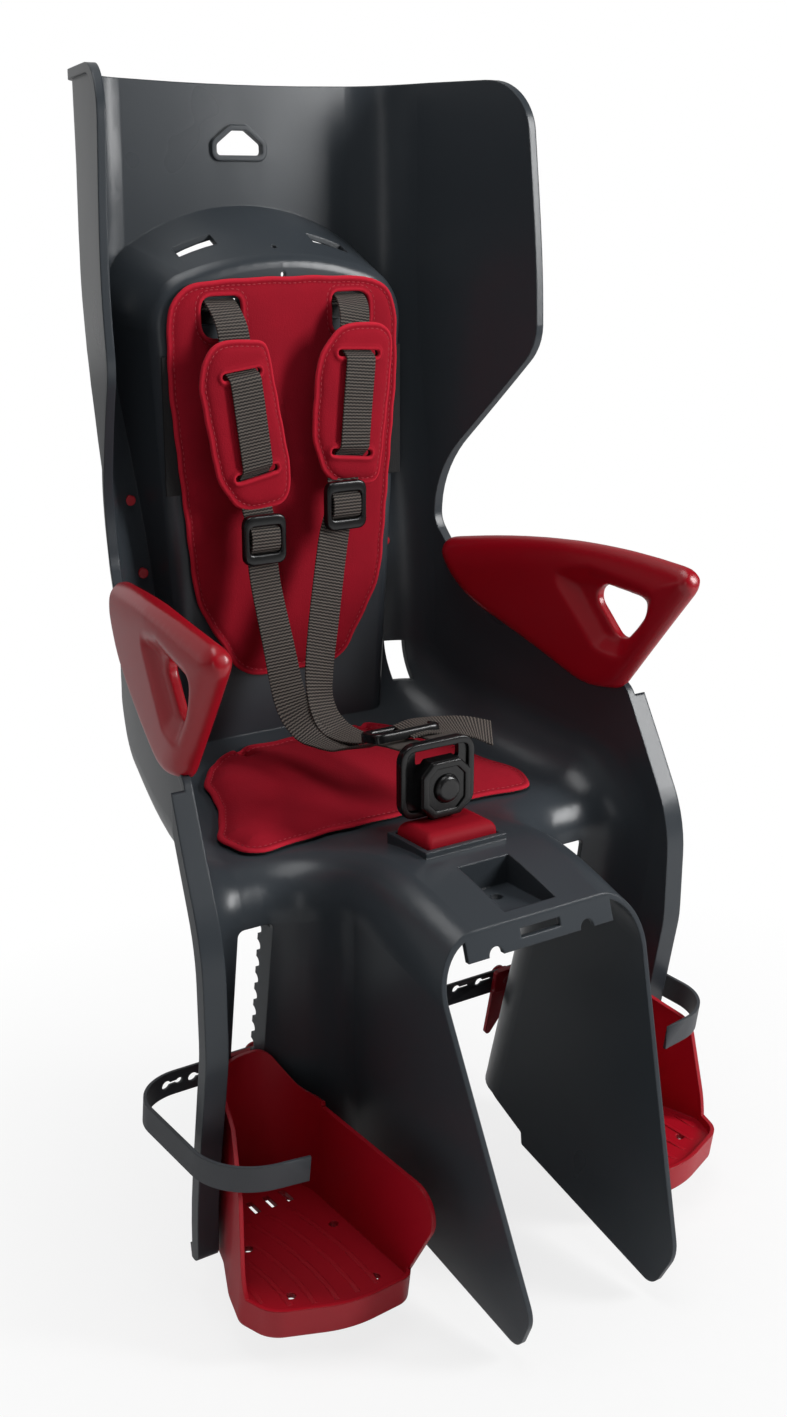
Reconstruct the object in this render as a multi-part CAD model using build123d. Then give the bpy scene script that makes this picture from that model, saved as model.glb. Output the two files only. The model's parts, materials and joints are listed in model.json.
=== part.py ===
from build123d import *
import os

# Child bicycle seat, mm. Origin at the mounting hole, front towards -Y, +Z up, +X the rider's left.

# Fits
wall = 4.0
clear = 0.3
reach = 420.0
low_z = -330.0
high_z = 580.0
front_y = -200.0

# Back and side walls of the shell
back_y = 339.0
hip_back_y = 308.0
neck_z = 400.0
waist_z = 165.0
back_half = 133.0
hip_half = 131.0
back_corner_r = 48.0
side_mid_y = 195.0
wing_half = 179.0
wing_taper = 6.0
hip_mid_half = 168.0
side_front_y = 40.0
wing_front_half = 212.0
leg_half = 194.0
top_z = 545.0
top_dish = 6.0
floor_corner_r = 42.0

# Seat floor, saddle and leg channels
hip_z = 128.0
hip_r = 95.0
hip_sink = 5.0
seat_front_y = 112.0
seat_front_z = 17.5
saddle_y = 40.0
saddle_z = 24.0
saddle_front_y = -37.0
saddle_front_z = 8.0
saddle_fall = 0.25
knee_r = 34.0
leg_y = 86.5
leg_slope = 0.16
leg_corner_r = 45.0
guard_x = 91.0
guard_slope = 0.106

# Rim of the side walls, seen from the side
wing_top_z = 549.0
wing_y = 203.0
wing_low_y = 192.0
wing_low_z = 352.0
waist_y = 279.0
waist_top_z = 250.0
waist_low_z = 206.0
arm_rear_y = 246.0
arm_rear_z = 158.0
arm_front_y = 122.0
arm_front_z = 103.0
rail_top_y = 88.0
rail_top_z = 107.0
rail_y = 35.0
rail_low_z = -80.0
toe_y = 68.0
toe_z = -257.0
toe_rear_y = 112.0
leg_low_y = 124.0
leg_low_z = -214.0
lip = 2.5
lip_width = 6.5
rail_flange = 13.0
rail_return = 12.0

# Guards beside the wheel
guard_split_x = 100.0
guard_top_y = -46.0
guard_top_z = 4.0
guard_low_y = -129.0
guard_low_z = -240.0
guard_tip_y = -113.0
guard_tip_z = -272.0
guard_step_y = 42.0
guard_step_z = -238.0
guard_step = 9.0
guard_rear_y = 84.0

# Raised panel of the back
panel_front_y = 275.0
panel_low_z = 44.0
panel_root_low = 96.0
panel_root_high = 124.0
panel_root_z = 408.0
panel_root_top = 457.0
panel_root_r = 55.0
panel_face_low = 90.0
panel_face_high = 110.0
panel_face_z = 398.0
panel_face_top = 420.0
panel_face_r = 40.0
panel_edge_r = 12.0

# Openings of the shell
carry_half = 20.0
carry_z = 494.0
carry_side = 8.0
carry_peak = 18.0
carry_rim = 4.0
carry_rise = 2.0
ledge_slot_x = 58.0
ledge_slot_y = 306.0
ledge_slot_depth = 12.0
harness_x = 56.0
harness_z = 383.0
slot_length = 32.0
slot_height = 18.0
peg_hole_r = 2.2
peg_hole_y = 289.0
peg_hole_z = 408.0
belt_slot_x = 119.0
belt_slot_z = 84.0
belt_slot_width = 16.0
drain_x = 57.0
drain_y = 256.0
drain_r = 5.0
window_in = 127.0
window_out = 155.0
window_top = -21.0
window_low = -203.0
window_r = 5.0
rack_depth = 16.0
rack_pitch = 14.0
rack_tooth_r = 4.5

# Mounting pocket and front plate of the saddle
pocket_half = 22.0
pocket_rear = 16.0
mount_r = 4.5
plate_half = 62.0
plate_low_z = -14.0
plate_slot_half = 17.0
plate_slot_z = -4.5
plate_slot_height = 6.0
notch_x = 39.0
notch_r = 6.0

# Crotch block, buckle stalk and buckle
crotch_half = 31.0
crotch_front = 39.0
crotch_rear = 79.0
crotch_top = 38.0
crotch_r = 8.0
crotch_rim = 4.0
crotch_rim_z = 28.5
stalk_half = 9.0
stalk_y = 68.0
stalk_thick = 4.0
stalk_foot_depth = 16.0
stalk_foot_z = 8.0
clip_thick = 4.0
buckle_z = 62.0
buckle_half = 21.0
buckle_front = 60.0
buckle_depth = 12.0
buckle_cut = 9.0
bezel = 1.6
button_r = 10.5
button_dome = 4.0
button_flange = 1.6
button_flange_thick = 2.2
button_travel = 3.0
spring_room = 2.0
spring_thick = 0.5
tongue_half = 32.0
tongue_low_z = 39.5
tongue_top_z = 95.0
tongue_thick = 4.5
tongue_r = 13.0
tongue_window_half = 19.0
tongue_window_z = 78.0
tongue_window = 13.0

# Pads
strip_thick = 1.6
strip_in = 86.0
strip_out = 105.0
strip_low = 250.0
strip_high = 352.0
pad_thick = 7.0
pad_top_z = 406.0
pad_top_half = 101.0
pad_top_r = 42.0
pad_mid_z = 330.0
pad_waist_z = 165.0
pad_waist_half = 85.0
pad_low_z = 100.0
pad_low_half = 42.0
pad_cut_r = 6.0
cushion_thick = 12.0
cushion_rear = 264.0
cushion_rear_half = 62.0
cushion_side_half = 114.0
cushion_side_y = 214.0
cushion_neck_half = 116.0
cushion_neck_y = 168.0
cushion_front_half = 136.0
cushion_front_y = 141.0
cushion_front = 122.0
cushion_corner = 12.0
shoulder_thick = 7.0
shoulder_slit_z = 344.0
shoulder_slit = 28.0
shoulder_y = 241.0
shoulder_shape = [(18, 22), (-20, 22), (-39, -48), (-40, -76), (-14, -109), (10, -94), (33, -9)]
shoulder_radii = [12, 10, 40, 20, 14, 20, 16]
shoulder_left_shift = (-3.0, 8.0)
shoulder_right_shift = (0.0, 0.0)

# Harness
web_width = 27.0
web_thick = 1.6
web_y = 239.8
bar_depth = 6.0
bar_height = 9.0
bar_over = 8.0
slider_width = 35.0
slider_height = 38.0
slider_thick = 4.0
slider_bar = 6.0
slider_left_x = 29.0
slider_left_z = 236.0
slider_right_x = -42.0
slider_right_z = 217.0
strap_left_xs = [18.0, -9.0, -5.0, 2.0, 8.0, 14.5]
strap_right_xs = [-41.0, -38.0, -34.0, -28.0, -22.0, -14.5]
strap_belly = [(212.0, 95.0), (196.0, 72.0), (150.0, 70.0)]
lap_x = -6.0
lap_y = 118.0
lap_z = 84.0
lap_slider_half = 33.0
lap_slider_depth = 18.0
tail_length = 78.0

# Push pins of the back wall
pin_head_r = 4.0
pin_head = 2.5
pin_r = 2.0
pin_spots = [(117.0, 243.0), (112.0, 187.0)]

# Armrests
arm_inside = 12.0
arm_outside = 8.5
arm_r = 8.0
arm_over = 9.0
arm_tail = (272.0, 192.0)
arm_top = [(140.0, 213.0), (11.0, 201.0)]
arm_radii = [10, 800, 13, 10, 60, 90]
arm_hole = [(128.0, 181.0), (52.0, 173.0), (86.0, 134.0)]
arm_hole_r = 10.0
arm_hole_edge = 4.0
arm_peg_r = 3.0
arm_peg_ys = [214.0, 152.0]

# Footrests, their carriages, latches and straps
tray_low_z = -262.0
tray_floor_z = -244.0
tray_lip_z = -238.0
tray_high_z = -120.0
tray_wall = 3.2
tray_floor = 4.0
tray_gap = 1.0
tray_inner_x = 97.0
tray_front_y = -42.0
tray_heel_x = 171.0
tray_outer = [(188.0, 66.0), (203.0, 31.0), (211.0, 2.0), (203.0, -24.0), (150.0, -46.0)]
tray_radii = [14, 42, 36, 40, 60, 14, 24, 80]
tray_inner_z = -167.0
tray_inner_front = -82.0
tray_outer_x = 166.0
tray_outer_rim = [(66.0, -136.0), (8.0, -160.0)]
tray_outer_front = -6.0
tray_heel_y = 72.0
tray_heel_z = -124.0
tray_heel_drop = 8.0
tray_heel_xs = [90.0, 106.0, 129.0, 162.0]
tray_foot_r = 4.0
tray_hole_r = 3.5
tray_hole_spots = [(176.0, 50.0), (178.0, -12.0), (119.0, -26.0), (110.0, 42.0)]
tray_slot_count = 4
tray_slot_x = 120.0
tray_slot_y = 92.0
tray_slot_pitch = 14.0
tray_slot_width = 5.0
arm_width = 20.0
arm_height = 16.0
pin_x = 116.0
pin_z = -153.0
knob_r = 6.5
knob_thick = 3.0
pivot_r = 3.0
carriage_gap = 2.0
carriage_thick = 4.0
lever_thick = 3.2
lever_length = 50.0
lever_lean = 9.0
lever_tooth = 4.0
strap_thick = 2.6
strap_height = 20.0
strap_out_x = 221.0
strap_spare_x = 58.0
strap_end_x = 160.0
strap_end_y = -8.0
strap_rear_r = 38.0
strap_front_r = 46.0
strap_hole_pitch = 23.0


def x_mirror(shape):
    return mirror(shape, about=Plane.YZ)


def both_sides(shape):
    return shape + x_mirror(shape)


def block(x0, x1, y0, y1, z0, z1):
    return Pos((x0 + x1) / 2, (y0 + y1) / 2, (z0 + z1) / 2) * Box(x1 - x0, y1 - y0, z1 - z0)


def side_prism(face, x0, x1):
    return extrude(Plane.YZ.offset(x0) * face, x1 - x0)


def front_prism(face, y0, y1):
    return extrude(Plane.XZ.offset(-y1) * face, y1 - y0)


def rod_x(r, y, z, x0, x1):
    return Pos((x0 + x1) / 2, y, z) * Rot(0, 90, 0) * Cylinder(r, x1 - x0)


def rod_y(r, x, z, y0, y1):
    return Pos(x, (y0 + y1) / 2, z) * Rot(90, 0, 0) * Cylinder(r, y1 - y0)


def plan_section(z, rear, half, mid_half, front_half, grow):
    rear = rear + grow
    side = ThreePointArc(
        (half + grow, rear), (mid_half + grow, side_mid_y), (front_half + grow, side_front_y)
    )
    run = PolarLine(side @ 1, side_front_y - front_y, direction=side % 1)
    corner_y = (run @ 1).Y
    rest = Polyline(run @ 1, (0, corner_y), (0, rear), (half + grow, rear))
    face = make_face(Curve() + [side, run, rest])
    corner = face.vertices().group_by(Axis.Y)[-1].sort_by(Axis.X)[-1]
    return Plane.XY.offset(z) * fillet(corner, back_corner_r + grow)


def envelope(grow):
    # Left half of the space between the side walls, which lean and widen upwards.
    hip = (hip_back_y, hip_half, hip_mid_half, leg_half)
    neck = (back_y, back_half, wing_half, wing_front_half)
    crown = (back_y, back_half, wing_half - wing_taper, wing_front_half - wing_taper)
    middle = [(a + b) / 2 for a, b in zip(hip, neck)]
    stations = [(z, hip) for z in (low_z, 0.7 * low_z, 0.35 * low_z, 0, 0.5 * waist_z, waist_z)]
    stations += [((waist_z + neck_z) / 2, middle), (neck_z, neck)]
    brow = [(a + b) / 2 for a, b in zip(neck, crown)]
    stations += [((neck_z + high_z) / 2, brow), (high_z, crown)]
    return loft([plan_section(z, *sizes, grow) for z, sizes in stations])


def floor_space(grow):
    # Space above the hip curve, the seat floor and the saddle.
    hip = CenterArc((hip_back_y - hip_r + hip_sink, hip_z), hip_r + grow, -84, 84)
    front_z = saddle_front_z - saddle_fall * (saddle_front_y - front_y) - grow
    heading = hip % 0
    floor = Spline(
        hip @ 0,
        (seat_front_y, seat_front_z - grow),
        (saddle_y, saddle_z - grow),
        (saddle_front_y, saddle_front_z - grow),
        (front_y, front_z),
        tangents=[(-heading.X, -heading.Y), (-1, -saddle_fall)],
    )
    rest = Polyline(hip @ 1, (reach, hip_z), (reach, high_z), (front_y, high_z), (front_y, front_z))
    return side_prism(make_face(Curve() + [hip, floor, rest]), 0, reach)


def leg_space(grow):
    # Channel for one leg: in front of the leg wall and outside the guard.
    sections = []
    for z in (low_z, hip_z):
        inner = guard_x + guard_slope * z - grow
        rear = leg_y - leg_slope * z + grow
        outline = Polyline((inner, front_y), (reach, front_y), (reach, rear), (inner, rear), close=True)
        face = make_face(outline)
        corner = face.vertices().group_by(Axis.X)[0].group_by(Axis.Y)[-1]
        sections.append(Plane.XY.offset(z) * fillet(corner, leg_corner_r + grow))
    return loft(sections, ruled=True)


def rider_space(grow):
    # Left half of everything the rider fills: the shell is the skin around it.
    space = floor_space(grow) + leg_space(grow)
    brow = space.edges().filter_by(
        lambda e: e.center().X > guard_x - leg_corner_r / 3
        and abs(e.center().Z) < knee_r
        and abs(e.center().Y) < hip_z
    )
    space = envelope(grow) & fillet(brow, knee_r - grow)
    corner = space.edges().sort_by_distance(Vertex(leg_half, leg_y, saddle_z))[0]
    return fillet(corner, floor_corner_r + grow)


def side_outline():
    # Side walls seen from the side: wing, waist, armrest seat, rail and toe.
    return make_face(
        FilletPolyline(
            (reach, wing_top_z),
            (wing_y, wing_top_z),
            (wing_low_y, wing_low_z),
            (waist_y, waist_top_z),
            (waist_y, waist_low_z),
            (arm_rear_y, arm_rear_z),
            (arm_front_y, arm_front_z),
            (rail_top_y, rail_top_z),
            (rail_y, 0),
            (rail_y, rail_low_z),
            (toe_y, toe_z),
            (toe_rear_y, toe_z),
            (leg_low_y, leg_low_z),
            (reach, leg_low_z),
            radius=[1, 40, 40, 88, 25, 60, 40, 20, 120, 100, 14, 10, 10, 1],
            close=True,
        )
    )


def middle_outline():
    # Back, saddle and guard seen from the side.
    return make_face(
        FilletPolyline(
            (reach, high_z),
            (guard_top_y, high_z),
            (guard_top_y, guard_top_z),
            (guard_low_y, guard_low_z),
            (guard_tip_y, guard_tip_z),
            (guard_step_y, guard_step_z),
            (guard_step_y + guard_step / 4, guard_step_z + guard_step),
            (guard_rear_y, leg_low_z),
            (reach, leg_low_z),
            radius=[1, 1, 6, 24, 12, 2, 2, 10, 1],
            close=True,
        )
    )


def panel_outline(y, inset):
    share = (y - panel_front_y) / (back_y - panel_front_y)

    def size(face, root):
        return face + share * (root - face)

    low = size(panel_face_low, panel_root_low) - inset
    high = size(panel_face_high, panel_root_high) - inset
    shoulder = size(panel_face_z, panel_root_z) - inset
    crown = size(panel_face_top, panel_root_top) - inset
    bottom = panel_low_z + inset
    arch = ThreePointArc((high, shoulder), (0, crown), (-high, shoulder))
    sides = Polyline((-high, shoulder), (-low, bottom), (low, bottom), (high, shoulder))
    face = make_face(Curve() + [arch, sides])
    shoulders = face.vertices().group_by(Axis.Y)[-1]
    return Plane.XZ.offset(-y) * fillet(shoulders, size(panel_face_r, panel_root_r) - inset)


def panel(inset, front, rear):
    body = loft([panel_outline(front, inset), panel_outline(rear, inset)], ruled=True)
    edges = body.faces().sort_by(Axis.Y)[0].edges().sort_by(Axis.Z)[1:]
    return fillet(edges, panel_edge_r - inset)


def rim_bead(side):
    # Rolled lip of the side wall and the hooked rail below the armrest.
    inside = envelope(0)

    def band(width):
        return side_prism(side - offset(side, -width), guard_split_x, reach)

    zone = block(guard_split_x, reach, front_y, rail_top_y - lip_width, low_z, rail_top_z - rail_flange)
    outside = envelope(wall + rail_flange)
    flange = ((outside & zone) - inside) & band(wall)
    hook = ((outside & zone) - envelope(rail_flange)) & band(rail_return)
    upper = block(guard_split_x, reach, front_y, reach, zone.bounding_box().max.Z - wall, high_z)
    bead = ((envelope(wall + lip) & upper) - inside) & band(lip_width)
    return bead + (flange + hook)


def arm_pegs(r):
    # Pegs of the armrest, below the rim that it straddles.
    slope = (arm_rear_z - arm_front_z) / (arm_rear_y - arm_front_y)
    pegs = []
    for y in arm_peg_ys:
        z = arm_front_z + slope * (y - arm_front_y) - 2 * arm_peg_r
        pegs.append(rod_x(r, y, z, guard_split_x, reach))
    return pegs[0] + pegs[1:]


def carry_hole():
    roof = carry_half / 3
    return fillet(
        make_face(
            Polyline(
                (-carry_half, carry_z),
                (carry_half, carry_z),
                (carry_half, carry_z + carry_side),
                (roof, carry_z + carry_peak),
                (-roof, carry_z + carry_peak),
                (-carry_half, carry_z + carry_side),
                close=True,
            )
        ).vertices(),
        3,
    )


def leg_rear(z):
    return leg_y - leg_slope * z + wall


def window_cut():
    face = make_face(
        Polyline(
            (window_in, window_top),
            (window_out, window_top),
            (window_out, window_low),
            (window_in, window_low),
            close=True,
        )
    )
    return front_prism(fillet(face.vertices(), window_r), leg_y - 3 * wall, leg_rear(window_low) + wall)


def rack():
    # Toothed flange behind the inner edge of the window.
    top = window_top - window_r
    low = window_low + window_r
    web = make_face(
        Polyline(
            (leg_rear(top) - wall / 2, top),
            (leg_rear(top) + rack_depth, top),
            (leg_rear(low) + rack_depth, low),
            (leg_rear(low) - wall / 2, low),
            close=True,
        )
    )
    plate = side_prism(web, window_in - wall, window_in)
    count = int((top - low) / rack_pitch)
    for n in range(count):
        z = top - rack_pitch * (n + 0.5)
        plate -= rod_x(rack_tooth_r, leg_rear(z) + rack_depth, z, 0, reach)
    return plate


def seat_shell(inner):
    side = side_outline()
    outer = rider_space(wall)
    half = outer - inner
    half += panel(0, panel_front_y, back_y + wall) & outer
    half -= panel(wall, panel_front_y + wall, reach)
    half &= side_prism(side, guard_split_x, reach) + side_prism(middle_outline(), 0, guard_split_x)
    half += rim_bead(side)

    rise = top_dish * (reach / wing_half) ** 2
    top = ThreePointArc((-reach, top_z + rise), (0, top_z), (reach, top_z + rise))
    over = Polyline(top @ 1, (reach, 2 * high_z), (-reach, 2 * high_z), top @ 0)
    half -= front_prism(make_face(Curve() + [top, over]), 0, reach)

    hole = carry_hole()
    half += front_prism(offset(hole, carry_rim), back_y - carry_rise, back_y + wall) & block(
        0, reach, 0, reach, 0, high_z
    )
    half -= front_prism(hole, panel_front_y, reach)

    slot_x0 = ledge_slot_x - slot_length / 2
    slot_y0 = ledge_slot_y - ledge_slot_depth / 2
    half -= block(
        slot_x0, slot_x0 + slot_length, slot_y0, slot_y0 + ledge_slot_depth, panel_face_z, panel_root_top
    )
    slot_x0 = harness_x - slot_length / 2
    slot_z0 = harness_z - slot_height / 2
    half -= block(
        slot_x0, slot_x0 + slot_length, panel_front_y - wall, panel_front_y + 2 * wall,
        slot_z0, slot_z0 + slot_height,
    )
    half -= Pos(0, peg_hole_y, panel_face_top) * Cylinder(peg_hole_r, 2 * slot_length)
    half -= rod_y(peg_hole_r, 0, peg_hole_z, panel_front_y - wall, panel_front_y + 2 * wall)
    half -= block(
        belt_slot_x - belt_slot_width / 2, belt_slot_x + belt_slot_width / 2, panel_front_y, reach,
        belt_slot_z - belt_slot_width, belt_slot_z + belt_slot_width,
    )
    half -= Pos(drain_x, drain_y, panel_low_z) * Cylinder(drain_r, 2 * slot_length)
    for x, z in pin_spots:
        half -= rod_y(pin_r + clear, x, z, panel_front_y, back_y + 2 * wall)
    half -= arm_pegs(arm_peg_r + clear)
    half -= window_cut()
    half += rack()

    pocket = block(0, pocket_half + wall, saddle_front_y - wall, pocket_rear + wall, -wall, saddle_z)
    half += pocket - inner
    half -= block(-wall, pocket_half, saddle_front_y, pocket_rear, 0, high_z)
    half -= Cylinder(mount_r, 4 * wall)

    slope = (guard_top_y - guard_low_y) / (guard_top_z - guard_low_z)
    plate_low_y = guard_top_y + slope * (plate_low_z - guard_top_z)
    plate = make_face(
        Polyline(
            (guard_top_y, guard_top_z),
            (plate_low_y, plate_low_z),
            (plate_low_y + wall, plate_low_z),
            (guard_top_y + wall, guard_top_z),
            close=True,
        )
    )
    half += side_prism(plate, 0, plate_half)
    half -= block(
        -wall, plate_slot_half, plate_low_y - wall, guard_top_y + 2 * wall,
        plate_slot_z - plate_slot_height / 2, plate_slot_z + plate_slot_height / 2,
    )
    half -= rod_y(notch_r, notch_x, plate_low_z, plate_low_y - wall, guard_top_y + 2 * wall)

    rim_in = (crotch_half + clear, crotch_front - clear, crotch_rear + clear)
    rim = block(
        0, rim_in[0] + crotch_rim, rim_in[1] - crotch_rim, rim_in[2] + crotch_rim, 0, crotch_rim_z
    ) - block(-wall, rim_in[0], rim_in[1], rim_in[2], -wall, high_z)
    half += rim & outer
    half -= block(
        -wall, stalk_half + clear, stalk_y - stalk_thick / 2 - clear, stalk_y + stalk_thick / 2 + clear,
        0, saddle_z + wall,
    )
    return both_sides(half)


def back_pad():
    outline = FilletPolyline(
        (-pad_top_half, pad_top_z),
        (pad_top_half, pad_top_z),
        (pad_top_half, pad_mid_z),
        (pad_waist_half, pad_waist_z),
        (pad_low_half, pad_low_z),
        (-pad_low_half, pad_low_z),
        (-pad_waist_half, pad_waist_z),
        (-pad_top_half, pad_mid_z),
        radius=[pad_top_r, pad_top_r, 60, 50, 30, 30, 50, 60],
        close=True,
    )
    rear = panel_front_y - strip_thick
    body = front_prism(make_face(outline), rear - pad_thick, rear)
    cut = Pos(harness_x, rear, harness_z) * Box(slot_length, 3 * pad_thick, slot_height + 2 * pad_cut_r)
    cut = fillet(cut.edges().filter_by(Axis.Y), pad_cut_r)
    return body - both_sides(cut)


def pad_strips():
    strip = block(
        strip_in, strip_out, panel_front_y - strip_thick, panel_front_y, strip_low, strip_high
    )
    return both_sides(strip)


def seat_cushion():
    plan = FilletPolyline(
        (0, cushion_rear),
        (cushion_rear_half, cushion_rear),
        (cushion_side_half, cushion_side_y),
        (cushion_neck_half, cushion_neck_y),
        (cushion_front_half, cushion_front_y),
        (cushion_front_half - cushion_corner, cushion_front),
        (0, cushion_front),
        radius=[1, 30, 20, 25, cushion_corner, 10, 1],
        close=True,
    )
    layer = rider_space(-clear) - rider_space(-clear - cushion_thick)
    half = layer & extrude(Plane.XY * make_face(plan), hip_z)
    return both_sides(half)


def crotch_block():
    body = block(-crotch_half, crotch_half, crotch_front, crotch_rear, saddle_z + wall / 2, crotch_top)
    body = fillet(body.edges().filter_by(Axis.Z), crotch_r / 2)
    body = fillet(body.faces().sort_by(Axis.Z)[-1].edges(), crotch_r)
    return body - block(
        -stalk_half - clear, stalk_half + clear,
        stalk_y - stalk_thick / 2 - clear, stalk_y + stalk_thick / 2 + clear,
        0, high_z,
    )


def buckle_stalk():
    y0 = stalk_y - stalk_thick / 2
    neck = block(-stalk_half, stalk_half, y0, y0 + stalk_thick, stalk_foot_z, buckle_z - buckle_half)
    slot = block(
        -stalk_half / 2, stalk_half / 2, y0 - wall, y0 + 2 * wall,
        stalk_foot_z + clip_thick / 2, stalk_foot_z + 1.5 * clip_thick + 2 * clear,
    )
    return neck - slot


def stalk_clip():
    z0 = stalk_foot_z + clip_thick / 2 + clear
    return block(
        -stalk_half / 2 + clear, stalk_half / 2 - clear,
        stalk_y - stalk_foot_depth, stalk_y + stalk_foot_depth, z0, z0 + clip_thick,
    )


def octagon(half, cut):
    face = make_face(Polyline((-half, -half), (half, -half), (half, half), (-half, half), close=True))
    return chamfer(face.vertices(), cut)


def buckle_body():
    rear = buckle_front + buckle_depth
    body = front_prism(Pos(0, buckle_z) * octagon(buckle_half, buckle_cut), buckle_front, rear)
    body = fillet(body.faces().sort_by(Axis.Y)[0].edges(), bezel)
    bore = button_r + clear
    pocket_y = buckle_front + bezel
    pocket_end = pocket_y + button_flange_thick + button_travel + spring_room
    body -= rod_y(bore, 0, buckle_z, buckle_front - wall, pocket_y + clear)
    return body - rod_y(bore + button_flange, 0, buckle_z, pocket_y, pocket_end)


def buckle_button():
    y = buckle_front + bezel + clear
    flange = rod_y(button_r + button_flange, 0, buckle_z, y, y + button_flange_thick)
    cap = rod_y(button_r, 0, buckle_z, buckle_front - button_dome, y + button_flange_thick / 2)
    cap = fillet(cap.faces().sort_by(Axis.Y)[0].edges(), button_dome - clear)
    return flange + cap


def button_spring():
    front = buckle_front + bezel + clear + button_flange_thick + clear / 2
    rear = buckle_front + bezel + button_flange_thick + button_travel + spring_room - clear / 2
    span = button_r * 0.8
    leaf = Polyline((-span, rear - spring_thick), (0, front + spring_thick), (span, rear - spring_thick))
    strip = trace(leaf, spring_thick)
    return extrude(Plane.XY.offset(buckle_z - span / 2) * strip, span)


def buckle_tongue():
    y = buckle_front + buckle_depth
    plate = make_face(
        FilletPolyline(
            (-tongue_half, tongue_top_z),
            (tongue_half, tongue_top_z),
            (tongue_half, tongue_low_z),
            (-tongue_half, tongue_low_z),
            radius=tongue_r,
            close=True,
        )
    )
    gap = Pos(0, tongue_window_z + tongue_window / 2) * RectangleRounded(
        2 * tongue_window_half, tongue_window, wall
    )
    return front_prism(plate - gap, y, y + tongue_thick)


def strap_run(points, width, thick):
    # Flat strap through the points, its width kept along X.
    body = None
    for a, b in zip(points, points[1:]):
        start = Vector(*a)
        run = Vector(*b) - start
        heading = run.normalized()
        across = (Vector(1, 0, 0) - heading * heading.X).normalized()
        seat = Plane(origin=start + run * 0.5, x_dir=across, z_dir=heading)
        piece = seat * Box(width, thick, run.length)
        body = piece if body is None else body + piece
    for point in points[1:-1]:
        body += Pos(*point) * Rot(0, 90, 0) * Cylinder(thick / 2, width)
    return body


def tongue_rear():
    return buckle_front + buckle_depth + tongue_thick + clear + web_thick


def strap_rear():
    return panel_front_y + wall + clear + bar_depth + clear + web_thick


def shoulder_strap(side, xs, drop):
    # From the anchor bar through the slot, under the slider and down to the buckle tongue.
    x = side * harness_x
    high = harness_z + slot_height / 2 - web_thick
    points = [
        (x, strap_rear(), harness_z - bar_height),
        (x, strap_rear(), high),
        (x, panel_front_y - strip_thick - pad_thick - wall, high - wall),
        (x, shoulder_y + shoulder_thick + wall, shoulder_slit_z + 0.65 * shoulder_slit),
        (x - side * wall, web_y, shoulder_slit_z - shoulder_slit / 2),
    ]
    lower = [(web_y, drop), *strap_belly, (lap_y, lap_z), (tongue_rear(), tongue_top_z - wall)]
    points += [(x, y, z) for x, (y, z) in zip(xs, lower)]
    return strap_run(points, web_width, web_thick)


def anchor_bar(side):
    y0 = panel_front_y + wall + clear
    half = slot_length / 2 + bar_over
    z1 = harness_z
    return block(
        side * harness_x - half, side * harness_x + half, y0, y0 + bar_depth, z1 - bar_height, z1
    )


def strap_slider(x, z):
    frame = RectangleRounded(slider_width, slider_height, slider_bar / 2)
    gap_height = (slider_height - 3 * slider_bar) / 2
    gap = Rectangle(slider_width - 2 * slider_bar * 0.7, gap_height)
    shift = (gap_height + slider_bar) / 2
    frame = frame - Pos(0, shift) * gap - Pos(0, -shift) * gap
    y1 = web_y - web_thick / 2 - clear
    return front_prism(Pos(x, z) * frame, y1 - slider_thick, y1)


def lap_frame():
    # Frame on the last run of the webbing: X across, Y back along it, Z up from it.
    low = Vector(lap_x, lap_y, lap_z)
    run = Vector(lap_x, tongue_rear(), tongue_top_z - wall) - low
    return Plane(origin=low + run * 0.4, x_dir=(1, 0, 0), z_dir=(0, run.Z, -run.Y))


def lap_slider():
    z0 = web_thick / 2 + clear
    body = Pos(0, 0, z0 + slider_thick / 2) * Box(2 * lap_slider_half, lap_slider_depth, slider_thick)
    body = fillet(body.edges().filter_by(Axis.Z), slider_bar / 2)
    gap = Box(2 * (lap_slider_half - slider_bar), (lap_slider_depth - 2 * slider_bar) / 2, 8 * slider_thick)
    shift = (lap_slider_depth - slider_bar) / 4
    return lap_frame() * (body - Pos(0, shift, 0) * gap - Pos(0, -shift, 0) * gap)


def strap_tail():
    z0 = web_thick / 2 + clear + slider_thick + clear
    x0 = lap_slider_half / 2
    strip = Pos(x0 + tail_length / 2, 0, z0 + web_thick / 2) * Box(tail_length, web_width, web_thick)
    return lap_frame() * strip


def shoulder_pad(side, shift):
    slit = Pos(harness_x - wall / 2, shoulder_slit_z)
    outline = FilletPolyline(*shoulder_shape, radius=shoulder_radii, close=True)
    face = slit * Pos(*shift) * make_face(outline)
    face -= slit * Rectangle(web_width + wall, shoulder_slit)
    if side < 0:
        face = x_mirror(face)
    return front_prism(face, shoulder_y, shoulder_y + shoulder_thick)


def back_pins(space):
    body = None
    for x, z in pin_spots:
        rear = back_y + wall
        head = rod_y(pin_head_r, x, z, panel_front_y, rear) & space
        face_y = head.bounding_box().max.Y
        head = head & block(0, reach, face_y - pin_head - pin_head_r * leg_slope * 2, reach, 0, high_z)
        pin = head + rod_y(pin_r, x, z, face_y - pin_head, face_y + 2 * wall)
        body = pin if body is None else body + pin
    return body


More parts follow.
